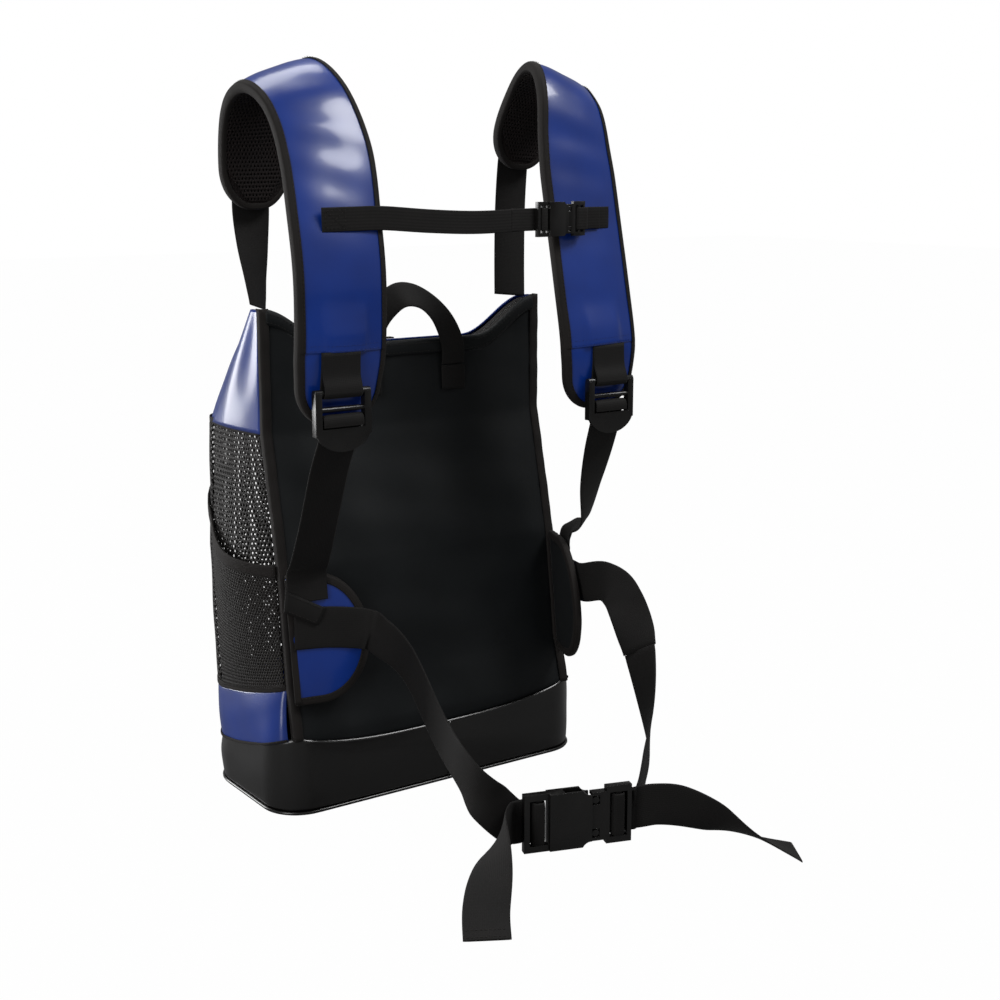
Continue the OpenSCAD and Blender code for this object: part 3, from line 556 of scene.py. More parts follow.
def sheet_on(name, place, rows, cols, flat, thickness):
    """An open sheet: place(u, v) on a grid with u, v from 0 to 1, made thick."""
    v, u = np.meshgrid(np.linspace(0, 1, rows), np.linspace(0, 1, cols), indexing="ij")
    uv = np.stack([u * flat[0], v * flat[1]], -1)
    return thicken(make(name, place(u, v), grid_faces(rows, cols), uv), thickness)


print("outline: base", BASE_TOP, "band", BAND_TOP, "shoulder", SHOULDER, "ridge", RIDGE)


# %% [markdown]
# ## The wearer's panel
# Black coated nylon over thin foam lies against the wearer's back. It is one
# quilt-like closed form with slow diagonal folds, its edges tucked under the
# binding.

# %% Wearer's panel
def panel_form():
    """Closed ring per row: front face with folds, back face 5.6 mm behind the plain panel."""
    v, c = np.meshgrid(np.linspace(0, 1, 90), np.linspace(-1, 1, 61), indexing="ij")
    top_x = c * (TOP_W - 4.5)
    foot = boot_at(top_x, FRONT) - 2
    z = foot + v * (ridge_at(top_x) - 11 - foot)
    x = c * (half_w(z) - 4.5)
    rim = np.clip((1 - np.abs(c)) / 0.16, 0, 1) * np.clip(v / 0.08, 0, 1)
    fold = (ripple(x, z, 21) * 1.6 + ripple(-x, z, 47) * 3.0
            + 1.5 * np.sin(x / 15 + z / 70 + np.sin(z / 45)))
    near = np.stack([x, panel_y(x, z) + fold * rim + 1.2 * (1 - rim), z], -1)
    back = np.stack([x, panel_y(x, z) + 5.6, z], -1)
    return np.concatenate([near, back[:, ::-1]], 1)


panel = skin("panel_cloth", panel_form())
dress(panel, NYLON, "nylon", "bag", "wearer_panel", "wearer_panel_foam")
print("panel", len(panel.data.polygons), "faces")


# %% [markdown]
# ## Blue vinyl shell
# The upper sides, the top of the outer face and the band above the base are
# PVC leathercloth. It creases softly where it is pulled towards the ridge.

# %% Vinyl shell
def gusset_place(s):
    """Upper side: a flat side with a slight hollow and vertical pulls."""
    def place(u, v):
        z = SHOULDER + v * (RIDGE - 1 - SHOULDER)
        puff = (2.6 * np.sin(np.pi * u) - 1.6 * np.sin(2 * np.pi * u)
                + 0.8 * np.sin(7 * u + 3 * v)) * np.sin(np.pi * (0.12 + 0.83 * v))
        return side_point(s, u, z, puff * (1 - 0.6 * v))
    return place


def top_place(u, v):
    """Upper outer face: the plan at each height, sagging with the ridge."""
    z = SHOULDER + v * (RIDGE - 1 - SHOULDER)
    fold = ripple(u * 300, z, 24) * 1.6 * np.sin(np.pi * v)
    return sagged(outer_plan(u, z, fold))


for s, side in SIDES:
    gusset = sheet_on(side + "_gusset_vinyl", gusset_place(s), 33, 31, (98, 113), 1.4)
    if s > 0:
        gusset.data.flip_normals()
    dress(gusset, BLUE_VINYL, "blue_vinyl", "bag", side + "_top_gusset")
shell_top = sheet_on("outer_top_vinyl", top_place, 33, 121, (335, 113), 1.4)
shell_top.data.flip_normals()
dress(shell_top, BLUE_VINYL, "blue_vinyl", "bag", "outer_top_panel")


def belt_line(z, out):
    """Plan line at height z: left side, round the outer face, right side."""
    k = np.linspace(0, 1, 16)[:-1]
    left = side_point(-1, k, np.full_like(k, z), out)
    t = np.linspace(0, 1, 120)
    rear = outer_plan(t, np.full_like(t, z), out)
    right = side_point(1, k, np.full_like(k, z), out)[::-1]
    return np.vstack([left, rear, right])


def foot_line(out, lift=0.0):
    """The band's lower edge: on the base's outline, at the base's top."""
    k = np.linspace(0, 1, 16)[:-1]
    y = FRONT + 9 + (REAR - REAR_R - FRONT - 9) * k
    side = np.stack([base_x(y) - 0.6 + out, y, boot_at(BASE_W, y)], 1)
    t = np.linspace(0, 1, 120)
    rear = rear_turn(t, BASE_W - 0.6, REAR_R, REAR, 0 * t, out)
    rear[:, 2] = boot_at(BASE_W, rear[:, 1])
    return np.vstack([side * [-1, 1, 1], rear, side[::-1]]) + [0, 0, lift]


def head_line(out, lift=0.0):
    """The band's upper edge: on the bag's outline, falling to the rear."""
    k = np.linspace(0, 1, 16)[:-1]
    t = np.linspace(0, 1, 120)
    rear = outer_plan(t, np.full_like(t, BAND_TOP - DROP), out)
    return np.vstack([side_point(-1, k, band_z(k), out), rear,
                      side_point(1, k, band_z(k), out)[::-1]]) + [0, 0, lift]


heights = np.linspace(0, 1, 17)
BAND_FLAT, BOOT_FLAT = 47, 69     # heights that the ripples and textures are laid out on
lanes = np.stack([foot_line(0.6 + 1.8 * np.sin(np.pi * v) ** 0.7, -1) * (1 - v)
                  + head_line(0.6 + 1.8 * np.sin(np.pi * v) ** 0.7) * v for v in heights])
wave = ripple(run_lengths(lanes[0])[None, :], heights[:, None] * BAND_FLAT, 13)[..., None]
lanes = lanes + wave * np.sin(np.pi * heights)[:, None, None] * np.array([0.5, 0.5, 0])
band = make("lower_band_vinyl", lanes, grid_faces(*lanes.shape[:2]),
            spread(run_lengths(lanes[0])[None, :],
                   heights[:, None] * BAND_FLAT))
band.data.flip_normals()
thicken(band, 1.4)
dress(band, BLUE_VINYL, "blue_vinyl", "bag", "lower_band")
print("vinyl shell made")


# %% [markdown]
# ## Mesh with real holes
# Sports mesh is knitted with round holes in staggered rows. Each cell is a
# hexagon with a round hole: six outer corners shared with its neighbours and a
# ring of inner points. It is drawn flat, then laid on the surface.

# %% Mesh cells
def honeycomb(name, place, width, height, pitch, hole, thickness):
    """Cells of a staggered grid. Centres are pitch apart in a row, rows are
    pitch*0.866 apart. Corner k is at pitch/sqrt(3) and hole point k at the hole's
    radius, both at 60k+30 degrees."""
    rows = int((height - pitch) / (pitch * 0.866))
    cols = int((width - pitch) / pitch)
    i, j = np.meshgrid(np.arange(rows + 1), np.arange(cols), indexing="ij")
    cx = (pitch * 0.75 + j * pitch + (i % 2) * pitch / 2).ravel()
    cy = (pitch * 0.6 + i * pitch * 0.866).ravel()
    angle = np.arange(6) * np.pi / 3 + np.pi / 6
    ring = np.stack([np.cos(angle), np.sin(angle)], -1)
    centre = np.stack([cx, cy], -1)[:, None]
    outer = centre + ring * pitch / np.sqrt(3)
    inner = centre + ring * hole / 2
    key = np.round(outer.reshape(-1, 2) * 20).astype(int)
    _, first, back = np.unique(key, axis=0, return_index=True, return_inverse=True)
    back = back.reshape(-1, 6)
    corners = outer.reshape(-1, 2)[first]
    flat = np.vstack([corners, inner.reshape(-1, 2)])
    flat = np.clip(flat, 0, [width, height])
    inside = len(corners) + np.arange(inner.shape[0] * 6).reshape(-1, 6)
    quads = np.stack([back, np.roll(back, -1, 1), np.roll(inside, -1, 1), inside], -1)
    piece = make(name, place(flat[:, 0] / width, flat[:, 1] / height), quads.reshape(-1, 4), flat)
    thicken(piece, thickness)
    return piece


for s, side in SIDES:
    wall = honeycomb(side + "_side_mesh", lambda u, v, s=s: side_point(
        s, u, band_z(u) + v * (SHOULDER - band_z(u)), 1.2 * np.sin(np.pi * u) * np.sin(np.pi * v)),
        120, 240, 5.0, 3.2, 0.7)
    dress(wall, MESH_YARN, "side_mesh", "bag", side + "_mesh_panel")


def pocket_hem(k):
    """Height of the pocket's open edge: low at the front, rising to the rear."""
    return 227 + 28 * k ** 3


def pocket_point(s, k, v, out=0.0):
    """Pocket cloth: stands off the side mesh more towards its open edge."""
    z = band_z(k) + 1 + v * (pocket_hem(k) - band_z(k) - 1)
    return side_point(s, k, z, 1.6 + out + 7.4 * v * np.sin(np.pi * k))


for s, side in SIDES:
    pouch = honeycomb(side + "_pocket_mesh", lambda u, v, s=s: pocket_point(s, u, v),
                      120, 122, 3.4, 1.8, 0.7)
    dress(pouch, MESH_YARN, "side_mesh", "bag", side + "_mesh_pocket")
wall = honeycomb("outer_mesh", lambda u, v: outer_plan(u, BAND_TOP - DROP + v * (SHOULDER - BAND_TOP + DROP),
                 1.5 * ripple(u * 300, v * 230, 30)), 385, 252, 5.4, 3.5, 0.7)
dress(wall, MESH_YARN, "side_mesh", "bag", "outer_mesh_panel")


# %% [markdown]
# ## Tapes and bound edges
# Grosgrain tape covers every join between vinyl and mesh, and a folded binding
# covers the seams round the wearer's panel.

# %% Tapes and bindings
def tape_line(name, line, width, out_widths=(0, 0, 1), thickness=1.1):
    """Flat tape along a line of points, its width in the given direction."""
    widths = np.broadcast_to(np.array(out_widths, float), line.shape)
    tape = carry(name, line, widths, strap_section(width, thickness, 7))
    return dress(tape, TAPE, "binding", "bag")


tape_line("shoulder_tape", belt_line(SHOULDER + 1, 0.9), 6.5)
tape_line("band_tape", head_line(1.6, 1), 6.0)
tape_line("base_welt", foot_line(1.3, 0.5), 2.4, thickness=2.2)

BINDING_SECTION = np.array([[-7.5, -0.6], [-6, -1.6], [-3, -2.3], [-0.4, -2.2], [1.2, -1.2],
                            [1.7, 1], [1.6, 5], [1.0, 7.5], [0.2, 7.4], [0.4, 2], [-1, 0.2],
                            [-4, 0.3], [-6, 0.4], [-7.4, 0.4]])


def edge_binding(s, side):
    """Section points (dx, dy) about the seam, repeated at each height."""
    z = np.linspace(BASE_TOP - 1, RIDGE + 0.5, 100)
    dx, dy = BINDING_SECTION[:, 0], BINDING_SECTION[:, 1]
    wobble = 0.25 * np.sin(z / 9) + 0.2 * np.sin(z / 3.7)
    rings = spread(
        s * (half_w(z)[:, None] + dx), wearer_y(z)[:, None] + dy + wobble[:, None],
        z[:, None])
    arc = run_lengths(BINDING_SECTION)
    uv = spread(z[:, None], arc[None, :])
    return dress(skin(side + "_bound_edge", rings, uv=uv), TAPE, "binding", "bag",
                 side + "_edge_binding")


for s, side in SIDES:
    edge_binding(s, side)

HEM_SECTION = np.array([[-0.6, -13.6], [-1.7, -12], [-1.9, -6], [-1.7, -1.5], [-0.4, 0.5],
                        [1.6, 0.7], [3.2, -1], [3.4, -7], [3.3, -13], [1.6, -13.4]])
hem_x = np.linspace(-(TOP_W - 4), TOP_W - 4, 90)
hem_z = ridge_at(hem_x)
hem_y = panel_y(hem_x, hem_z - 13)
rings = spread(
    hem_x[:, None], hem_y[:, None] + HEM_SECTION[:, 0] + 0.3 * np.sin(hem_x / 11)[:, None],
    hem_z[:, None] + HEM_SECTION[:, 1])
dress(skin("ridge_hem", rings), NYLON, "nylon", "bag", "top_hem")
for n, drop in enumerate((3.2, 11.0)):
    line = np.stack([hem_x, hem_y - 2.0 + 0.3 * np.sin(hem_x / 11), hem_z - drop], -1)
    sewn = stitches("hem_stitch_%d" % n, line, np.tile([0.0, -1, 0], (len(line), 1)))
    dress(sewn, THREAD, "binding", "bag")


def pocket_band(s, side):
    """Folded hem along the pocket's open edge, running on round the outer corner."""
    k = np.linspace(0.0, 1, 30)
    front = pocket_point(s, k, np.ones_like(k), 0.8)
    t = np.linspace(0, 0.15, 9)[1:]
    z = 255 + 44 * (t / 0.15) ** 0.9
    rear = outer_plan(t if s < 0 else 1 - t, z, 1.4)
    line = np.vstack([front, rear])
    strap = carry(side + "_pocket_hem", line, np.tile([0.0, 0, 1], (len(line), 1)),
                  strap_section(11, 2.2, 9))
    return dress(strap, TAPE, "binding", "bag")


for s, side in SIDES:
    pocket_band(s, side)
print("tapes and bindings made")


# %% [markdown]
# ## The base
# A boot of thick glossy black vinyl stands on a piped edge. Its wall is one
# closed plan line lifted in rows, a little fuller at half height, with slow
# dents where hands have pushed it.

# %% Base boot
def rounded_loop(w, f, r, ra, rb, step=4.0):
    """Closed plan: front at y=f with corner radius ra, rear at y=r with rb."""
    corners = [(-w, r, rb, 90), (-w, f, ra, 180), (w, f, ra, 270), (w, r, rb, 0)]
    points = []
    for x, y, radius, start in corners:
        a = np.radians(start + np.linspace(0, 90, 12))
        cx, cy = x - np.sign(x) * radius, y + (radius if y == f else -radius)
        points.append(np.stack([cx + radius * np.cos(a), cy + radius * np.sin(a)], 1))
    loop = np.vstack(points + [points[0][:1]])
    s = run_lengths(loop)
    at = np.arange(0, s[-1] - step / 2, step)
    return np.stack([np.interp(at, s, loop[:, 0]), np.interp(at, s, loop[:, 1])], 1), at


plan, plan_at = rounded_loop(BASE_W, FRONT, REAR, FRONT_R, REAR_R)
outward_plan = unit(np.stack([np.roll(plan, -1, 0)[:, 1] - np.roll(plan, 1, 0)[:, 1],
                              np.roll(plan, 1, 0)[:, 0] - np.roll(plan, -1, 0)[:, 0]], 1))
rise = np.linspace(0, 1, 21)
puff = (1.8 * np.sin(np.pi * rise)[:, None] + 1.1 * ripple(plan_at[None, :], rise[:, None] * BOOT_FLAT, 26)
        * np.sin(np.pi * rise)[:, None] - 0.6)
wall = np.concatenate([plan[None] + outward_plan[None] * puff[..., None],
                       (3.5 + rise[:, None] * (boot_at(plan[:, 0], plan[:, 1]) - 2.5)[None])
                       [..., None]], -1)
boot = make("boot_vinyl", wall, grid_faces(21, len(plan), False, True),
            spread(plan_at[None, :], rise[:, None] * BOOT_FLAT))
thicken(boot, 2.0)
dress(boot, BLACK_VINYL, "black_vinyl", "bag", "base_boot")
turn = np.linspace(0, 2 * np.pi, 11)[:-1]
cord_line = np.column_stack([plan - outward_plan * 0.2, np.full(len(plan), 2.0)])
piping = carry("boot_piping", cord_line, np.tile([0.0, 0, 1], (len(plan), 1)),
               np.stack([1.6 * np.cos(turn), 1.5 * np.sin(turn)], 1), closed=True)
dress(piping, BLACK_VINYL, "binding", "bag", "base_piping")
floor_plan = plan - outward_plan * 2.0
shrink = np.linspace(1, 0.02, 14)[:, None, None]
centre = floor_plan.mean(0)
disc = np.concatenate([centre + (floor_plan[None] - centre) * shrink,
                       np.full((14, len(plan), 1), 0.4)], -1)
disc_faces = grid_faces(14, len(plan), False, True).tolist()
disc_faces.append([13 * len(plan) + k for k in range(len(plan))][::-1])
underside = make("boot_floor", disc, disc_faces, disc[..., :2])
thicken(underside, 1.2, 1.0)
dress(underside, BLACK_VINYL, "black_vinyl", "bag", "base_floor")
seam = np.stack([np.full(12, 10.0), np.full(12, FRONT - 1.7), np.linspace(5, BASE_TOP - DIP, 12)], 1)
tape_line("boot_seam", seam, 2.0, (1, 0, 0), 0.8)
bpy.data.objects["boot_seam"].data.materials[0] = BLACK_VINYL
print("base made")


# %% [markdown]
# ## Shoulder pads
# A pad is foam between a vinyl face and air mesh, crowned across its width and
# pinched at the binding. Every point on it is given by a place along its line,
# a place across it, and a height through it.

# %% Pad line and cross-section
PAD_W, TIP_R, END_R = 85.0, 32.0, 37.4
PAD_ROUTE = {
    -1: [[-141, -142, 374], [-141, -146.3, 404], [-140, -151, 440], [-140, -153, 496], [-138, -142, 546],
         [-134, -121, 602], [-139, -97, 645], [-146, -64, 664], [-148, -34, 647],
         [-146, -16, 606], [-145, -10, 550]],
    1: [[144, -134.5, 364], [143, -138.8, 391], [142, -141, 426], [140, -132, 483], [141, -118, 539],
        [141, -104, 600], [144, -90, 648], [150, -64, 668], [152, -34, 656],
        [148, -14, 625], [145, -5, 585]]}
PAD_ROLL = np.array([[1, 0, 0], [1, 0, 0], [1, 0, 0], [1, 0, 0.02], [1, 0, 0.06], [1, 0, 0.16],
                     [1, 0.06, 0.28], [1, 0.1, 0.34], [1, 0.06, 0.24], [1, 0, 0.1], [1, 0, 0]])
FLAP = {-1: 64.0, 1: 60.0}


def pad_line(s):
    """The pad's centre line with its width direction, tangent and run length, and
    the place of the flap edge that the lock's webbing comes out under."""
    path = smooth_path(PAD_ROUTE[s], 5)
    wide = smooth_path(PAD_ROLL * [1, 1, -s], 5)
    step = np.vstack([path[1:2] - path[:1], path[2:] - path[:-2], path[-1:] - path[-2:-1]])
    return path, wide, unit(step), run_lengths(path), FLAP[s]


def on_pad(line, a, b, h):
    """Point a along the pad, b across it and h above its middle surface."""
    path, wide, along, s, _ = line
    a, b, h = np.broadcast_arrays(a, b, h)
    b = b * np.interp(a, [0, 55, s[-1] / 2, s[-1]], [0.86, 1, 1, 0.76])
    p, w, t = (between(a, s, v) for v in (path, wide, along))
    t = unit(t)
    w = unit(w - (w * t).sum(-1, keepdims=True) * t)
    return p + w * b[..., None] + np.cross(w, t) * h[..., None]


def pad_half(line, q, spans=70):
    """Half outline drawn q inside the edge: quarter circle, straight, quarter circle."""
    length, mid = line[3][-1], PAD_W / 2
    a1 = np.linspace(0, np.pi / 2, 12)
    a2 = np.linspace(np.pi / 2, 0, 16)
    run = np.linspace(TIP_R, length - END_R, spans - 2)[1:-1]
    run = np.sort(np.concatenate([run, line[4] + np.array([-1.0, -0.5, 0.2, 0.8])]))
    return np.vstack([
        np.stack([TIP_R - (TIP_R - q) * np.cos(a1), mid - TIP_R + (TIP_R - q) * np.sin(a1)], 1),
        np.stack([run, np.full(spans, mid - q)], 1),
        np.stack([length - END_R + (END_R - q) * np.cos(a2), mid - END_R + (END_R - q) * np.sin(a2)], 1)])


def whole(half):
    """Half an outline joined to its mirror image."""
    return np.vstack([half, half[::-1] * [1, -1]])


def pad_height(line, a, b, s):
    """Top surface: low at the edge, crowned inside, creased at the cross seam,
    with slow wrinkles where the pad bends over."""
    length = line[3][-1]
    side = 1 - np.clip(np.abs(b) / (PAD_W / 2), 0, 1) ** 2.6
    ends = np.clip(a / 22, 0, 1) * np.clip((length - a) / 30, 0, 1)
    ends = ends * (2 - ends)
    past = a - line[4]
    over = np.clip(past / 0.8 + 0.5, 0, 1) * np.clip(1 - (past - 14) / 26, 0, 1)
    flap = over * (1.0 + 3.4 / (1 + np.exp((np.abs(b) - 20) / 1.6)))
    bend = np.exp(-((a - 0.58 * length) / 70) ** 2)
    wrinkle = (0.55 * np.sin(a / 5.3 + 0.035 * b + s) * bend
               + 0.5 * ripple(b * 1.2, a, 17)) * side
    return 3.3 + 4.4 * side * ends + wrinkle + flap * np.minimum(1, 3 * side)


def pad(s, side):
    """Cover, lining, mesh, binding and seams of one pad."""
    line = pad_line(s)
    half = pad_half(line, 2.6)
    u = np.linspace(-1, 1, 37)
    a = np.broadcast_to(half[:, :1], (len(half), 37))
    b = half[:, 1:] * u[None, :]
    top = on_pad(line, a, b, pad_height(line, a, b, s))
    under = on_pad(line, a, b, -2.9 + 0 * b)
    cover = slab(side + "_pad_cover", top, under)
    soften(cover)
    dress(cover, BLUE_VINYL, "blue_vinyl", "bag", side + "_pad_vinyl", side + "_pad_foam")
    low_face = on_pad(line, a, b, -3.1 - 1.1 * (1 - np.abs(u[None, :]) ** 3) + 0 * b)
    back = make(side + "_pad_backing", low_face, grid_faces(len(half), 37),
                np.stack([a, b], -1))
    thicken(back, 0.5)
    dress(back, AIR_MESH, "air_mesh", "bag", side + "_pad_lining")
    length = line[3][-1]

    def under_place(u, v):
        a, b = v * (length - 16) + 8, (u - 0.5) * (PAD_W - 8)
        room = np.minimum(np.interp(a, [0, TIP_R], [10, 38]), np.interp(
            length - a, [0, END_R], [6, 38]))
        b = np.clip(b, -room, room)
        return on_pad(line, a, b, -4.4 - 0.9 * (1 - (b / 43) ** 2))
    spacer = honeycomb(side + "_pad_air_mesh", under_place, PAD_W - 8, length - 16, 4.2, 2.5, 0.8)
    dress(spacer, AIR_MESH, "air_mesh", "bag")

    section_q = np.array([6.6, 6.0, 4.2, 2.2, 0.6, -0.3, 0.4, 2.2, 4.2, 6.0, 6.4,
                          5.8, 4.2, 2.6, 1.2, 0.8, 1.2, 2.8, 4.2, 6.0])
    section_h = np.array([0.5, 1.1, 1.2, 1.1, 1.0, 0, -1.0, -1.2, -1.2, -1.1, -0.4,
                          0.2, 0.2, 0.2, 0.4, 0, -0.4, -0.2, -0.2, 0.2])
    face = np.array([1, 1, 1, 1, 1, 0, -1, -1, -1, -1, -1, -1, -1, -1, -1, 0, 1, 1, 1, 1])
    loops = []
    for q, h, f in zip(section_q, section_h, face):
        edge = whole(pad_half(line, q))
        top_h = pad_height(line, edge[:, 0], edge[:, 1], s) + h
        low_h = -3.4 - 0.6 * min(max(q, 0), 5) / 5 + h
        loops.append(on_pad(line, edge[:, 0], edge[:, 1],
                            top_h if f > 0 else (low_h if f < 0 else 0.0)))
    rings = np.stack(loops, 1)
    bound = skin(side + "_pad_edge", rings, closed=True, uv=spread(
        run_lengths(rings[:, 0])[:, None], np.cumsum(np.ones(20))[None, :] * 1.7))
    soften(bound)
    dress(bound, TAPE, "binding", "bag", side + "_pad_binding")

    for n, at in enumerate((line[4] + 2.2, line[4] + 6.4)):
        b = np.linspace(-33, 33, 60)
        across = np.full(60, float(at))
        row = on_pad(line, across, b, pad_height(line, across, b, s) + 0.1)
        up = row - on_pad(line, across, b, 0 * b)
        dress(stitches("%s_pad_seam_%d" % (side, n), row, up), BLUE_THREAD, "blue_vinyl", "bag")
    edge = whole(pad_half(line, 5.3))
    h = pad_height(line, edge[:, 0], edge[:, 1], s) + 1.2
    row = on_pad(line, edge[:, 0], edge[:, 1], h)
    up = row - on_pad(line, edge[:, 0], edge[:, 1], h - 3)
    dress(stitches(side + "_pad_edge_stitch", row, up), THREAD, "binding", "bag")
    return line


PADS = {s: pad(s, side) for s, side in SIDES}
print("pads made, lengths", [round(float(PADS[s][3][-1])) for s in PADS], "mm")


# %% [markdown]
# ## Webbing of the harness
# All the straps are flat polyester webbing. Each follows the same route as its
# imported solid.

# %% Harness webbing
BELT_W, BELT_T, CHEST_W, CHEST_T, HANDLE_W = 38.0, 1.8, 20.0, 1.2, 25.0
X, UP = [1, 0, 0], [0, 0, 1]


def strap(name, route, widths, width, thickness, material=None, steps=10):
    """A strap with its path kept for the stitches that go on it."""
    piece = webbing(name, route, widths, width, thickness, steps)
    piece.data.materials.append(material or WIDE_WEBBING)
    path = smooth_path(route, steps)
    print(name, "is", round(float(run_lengths(path)[-1])), "mm long")
    return piece, path, smooth_path(widths, steps)


def sew_on(name, path, widths, lines, lift, body="bag"):
    """Stitched lines on a strap: each is a list of (distance along, across)."""
    side, normal = side_and_normal(path, widths)
    s = run_lengths(path)
    for n, line in enumerate(lines):
        line = np.array(line, float)
        seg = run_lengths(line)
        f = np.linspace(0, seg[-1], max(int(seg[-1] / 2), 3))
        a, b = np.interp(f, seg, line[:, 0]), np.interp(f, seg, line[:, 1])
        p, w, m = (between(a, s, v) for v in (path, side, normal))
        piece = stitches("%s_%d" % (name, n), p + w * b[:, None] + m * lift,
                         m * np.sign(lift))
        dress(piece, THREAD, "webbing", body)


def box_stitch(a0, a1, half):
    """A rectangle and its crossing diagonals, the usual load-bearing stitch."""
    return [[(a0, -half), (a1, -half), (a1, half), (a0, half), (a0, -half)],
            [(a0, -half), (a1, half)], [(a0, half), (a1, -half)]]


UPPER = {"left": [[-146, -5, 592], [-145.5, -2.6, 570], [-145, -0.8, 548], [-145.5, -3, 520],
                  [-147, -9, 492], [-148.5, -15, 472], [-149, -17, 464.5]],
         "right": [[147, -2.5, 622], [146, 1.6, 604], [145, 4, 582], [142, 3, 545],
                   [137, -3, 500], [133, -9, 462]]}
UPPER_W = {"left": [X, X, X, [1, 0.25, 0], [0.85, 0.52, 0], [0.76, 0.65, 0], [0.73, 0.68, 0]],
           "right": [X] * 6}
for side, route in UPPER.items():
    piece, path, wide = strap(side + "_upper_strap", route, UPPER_W[side], BELT_W - 2, BELT_T)
    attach(piece, "bag")
    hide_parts(side + "_upper_webbing")

FIN_L, FIN_H, FIN_T, FIN_LEAN = 76.0, 120.0, 9.0, 0.125
FIN_AT = {-1: np.array([-152.0, -65, 166]), 1: np.array([146.0, -66, 168])}
FIN_TURN = {-1: np.radians(-10), 1: np.radians(-70)}
SEWN = FIN_T + 0.3 + BELT_T / 2
FIN_STRAIGHT = FIN_L - FIN_H * 0.42


def fin_point(s, a, h, z):
    """Point on a fin: a outwards from its root, h out from its inner face, z up
    from its middle, with y leaning back in step with z."""
    a, h, z = np.broadcast_arrays(np.asarray(a, float), h, z)
    c, n = np.cos(FIN_TURN[s]), np.sin(FIN_TURN[s])
    return FIN_AT[s] + np.stack([-s * (a * c + h * n), a * n - h * c + FIN_LEAN * z, z], -1)


def fin_along(s):
    """Level direction along a fin's face, towards the bag's right or rear."""
    return [np.cos(FIN_TURN[s]), -s * np.sin(FIN_TURN[s]), 0]


LOCK = {"left": np.array([-145.0, -159.8, 404]), "right": np.array([147.0, -152.6, 391])}
LOCK_TURN = np.array([[0, -3.6, -28.6], [0, -3.9, -24.4], [0, -2.8, -20.6], [0, 0, -19],
                      [0, 2.8, -20.6], [0, 4, -25], [0, 4.6, -36]])
LOWER = {"left": [[-145, -136, 334], [-142, -110, 285], [-139, -86, 244],
                  fin_point(-1, 18, SEWN + 5.3, 66), fin_point(-1, 18, SEWN + 1.2, 58),
                  fin_point(-1, 18, SEWN + 0.2, 50), fin_point(-1, 18, SEWN, 36)],
         "right": [[148, -137, 325], [152, -121, 287], [157, -106, 248],
                   fin_point(1, 30, SEWN + 8, 68), fin_point(1, 24, SEWN + 2.7, 60),
                   fin_point(1, 20, SEWN + 0.8, 52), fin_point(1, 18, SEWN + 0.2, 43)]}
LOWER_W = {"left": [X, X, [1, -0.1, 0]] + [fin_along(-1)] * 4,
           "right": [[1, 0.05, 0], [0.93, 0.3, 0], [0.75, 0.65, 0], [0.5, 0.85, 0]]
           + [fin_along(1)] * 3}


def lock_loop(rise):
    """Webbing from under the pad's flap, round the lock's top bar and back up."""
    bend = np.linspace(0, np.pi, 17)
    down = np.array([[0, 34], [1.2, 20], [2.8, 10], [4, 4]])
    back = np.array([[-3.8, 5], [-1.3, 12], [-0.9, 20], [-1.8, 34]])
    legs = [np.stack([0 * q[:, 0], q[:, 0] + rise * q[:, 1] / 31, q[:, 1]], 1)
            for q in (down, back)]
    return np.vstack([legs[0], np.stack([0 * bend, 4.3 * np.cos(bend), -4.3 * np.sin(bend)], 1),
                      legs[1]])


for side in ("left", "right"):
    at = LOCK[side]
    route = np.vstack([at + LOCK_TURN, LOWER[side]])
    piece, path, wide = strap(side + "_lower_strap", route, [X] * 7 + LOWER_W[side],
                              BELT_W - (side == "right") * 2, BELT_T)
    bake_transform(piece)
    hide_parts(side + "_lower_webbing")
    loop = lock_loop(0 if side == "left" else 3) + at
    piece, path, wide = strap(side + "_lock_loop", loop, [X] * len(loop), BELT_W - 2, 1.6,
                              steps=3)
    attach(piece, "bag")
    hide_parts(side + "_ladder_loop")

HANDLE = [[47, -36.2, 402], [46, -37.4, 420], [37, -39, 440], [20, -43, 458], [-2, -48, 470],
          [-22, -48, 470], [-38, -42, 453], [-46, -37.6, 428], [-47, -36.2, 402]]
HANDLE_WIDE = [[1, 0, 0], [1, 0, 0.1], [0.9, 0.2, 0.5], [0.55, 0.5, 0.8], [0, 0.6, 1],
               [-0.5, 0.5, 0.9], [-0.9, 0.2, 0.5], [-1, 0, 0.1], [-1, 0, 0]]
piece, path, wide = strap("handle_strap", HANDLE, HANDLE_WIDE, HANDLE_W, 1.8)
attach(piece, "carry_handle")
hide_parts("grab_handle")
for n, x in enumerate((-47, 47)):
    z = np.linspace(377.5, 400.8, 9)
    tab = np.stack([np.full(9, float(x)), panel_y(x, z) - 2.6, z], 1)
    piece = carry("handle_tab_%d" % n, tab, np.tile([1.0, 0, 0], (9, 1)),
                  strap_section(HANDLE_W + 1, 2.4))
    dress(piece, WIDE_WEBBING, "webbing", "bag", *(["handle_patches"] if n == 0 else []))
    sew_on("handle_stitch_%d" % n, tab, np.tile([1.0, 0, 0], (9, 1)), box_stitch(3, 20, 9.5), -1.3)
print("harness webbing made")


# %% [markdown]
# ## Hip fins
# Each fin is a D-shaped foam pad, vinyl outside and nylon inside, bound with
# wide tape. It leans back with the panel. The left one lies along the panel and
# the right one stands out from it, so its inner face shows.

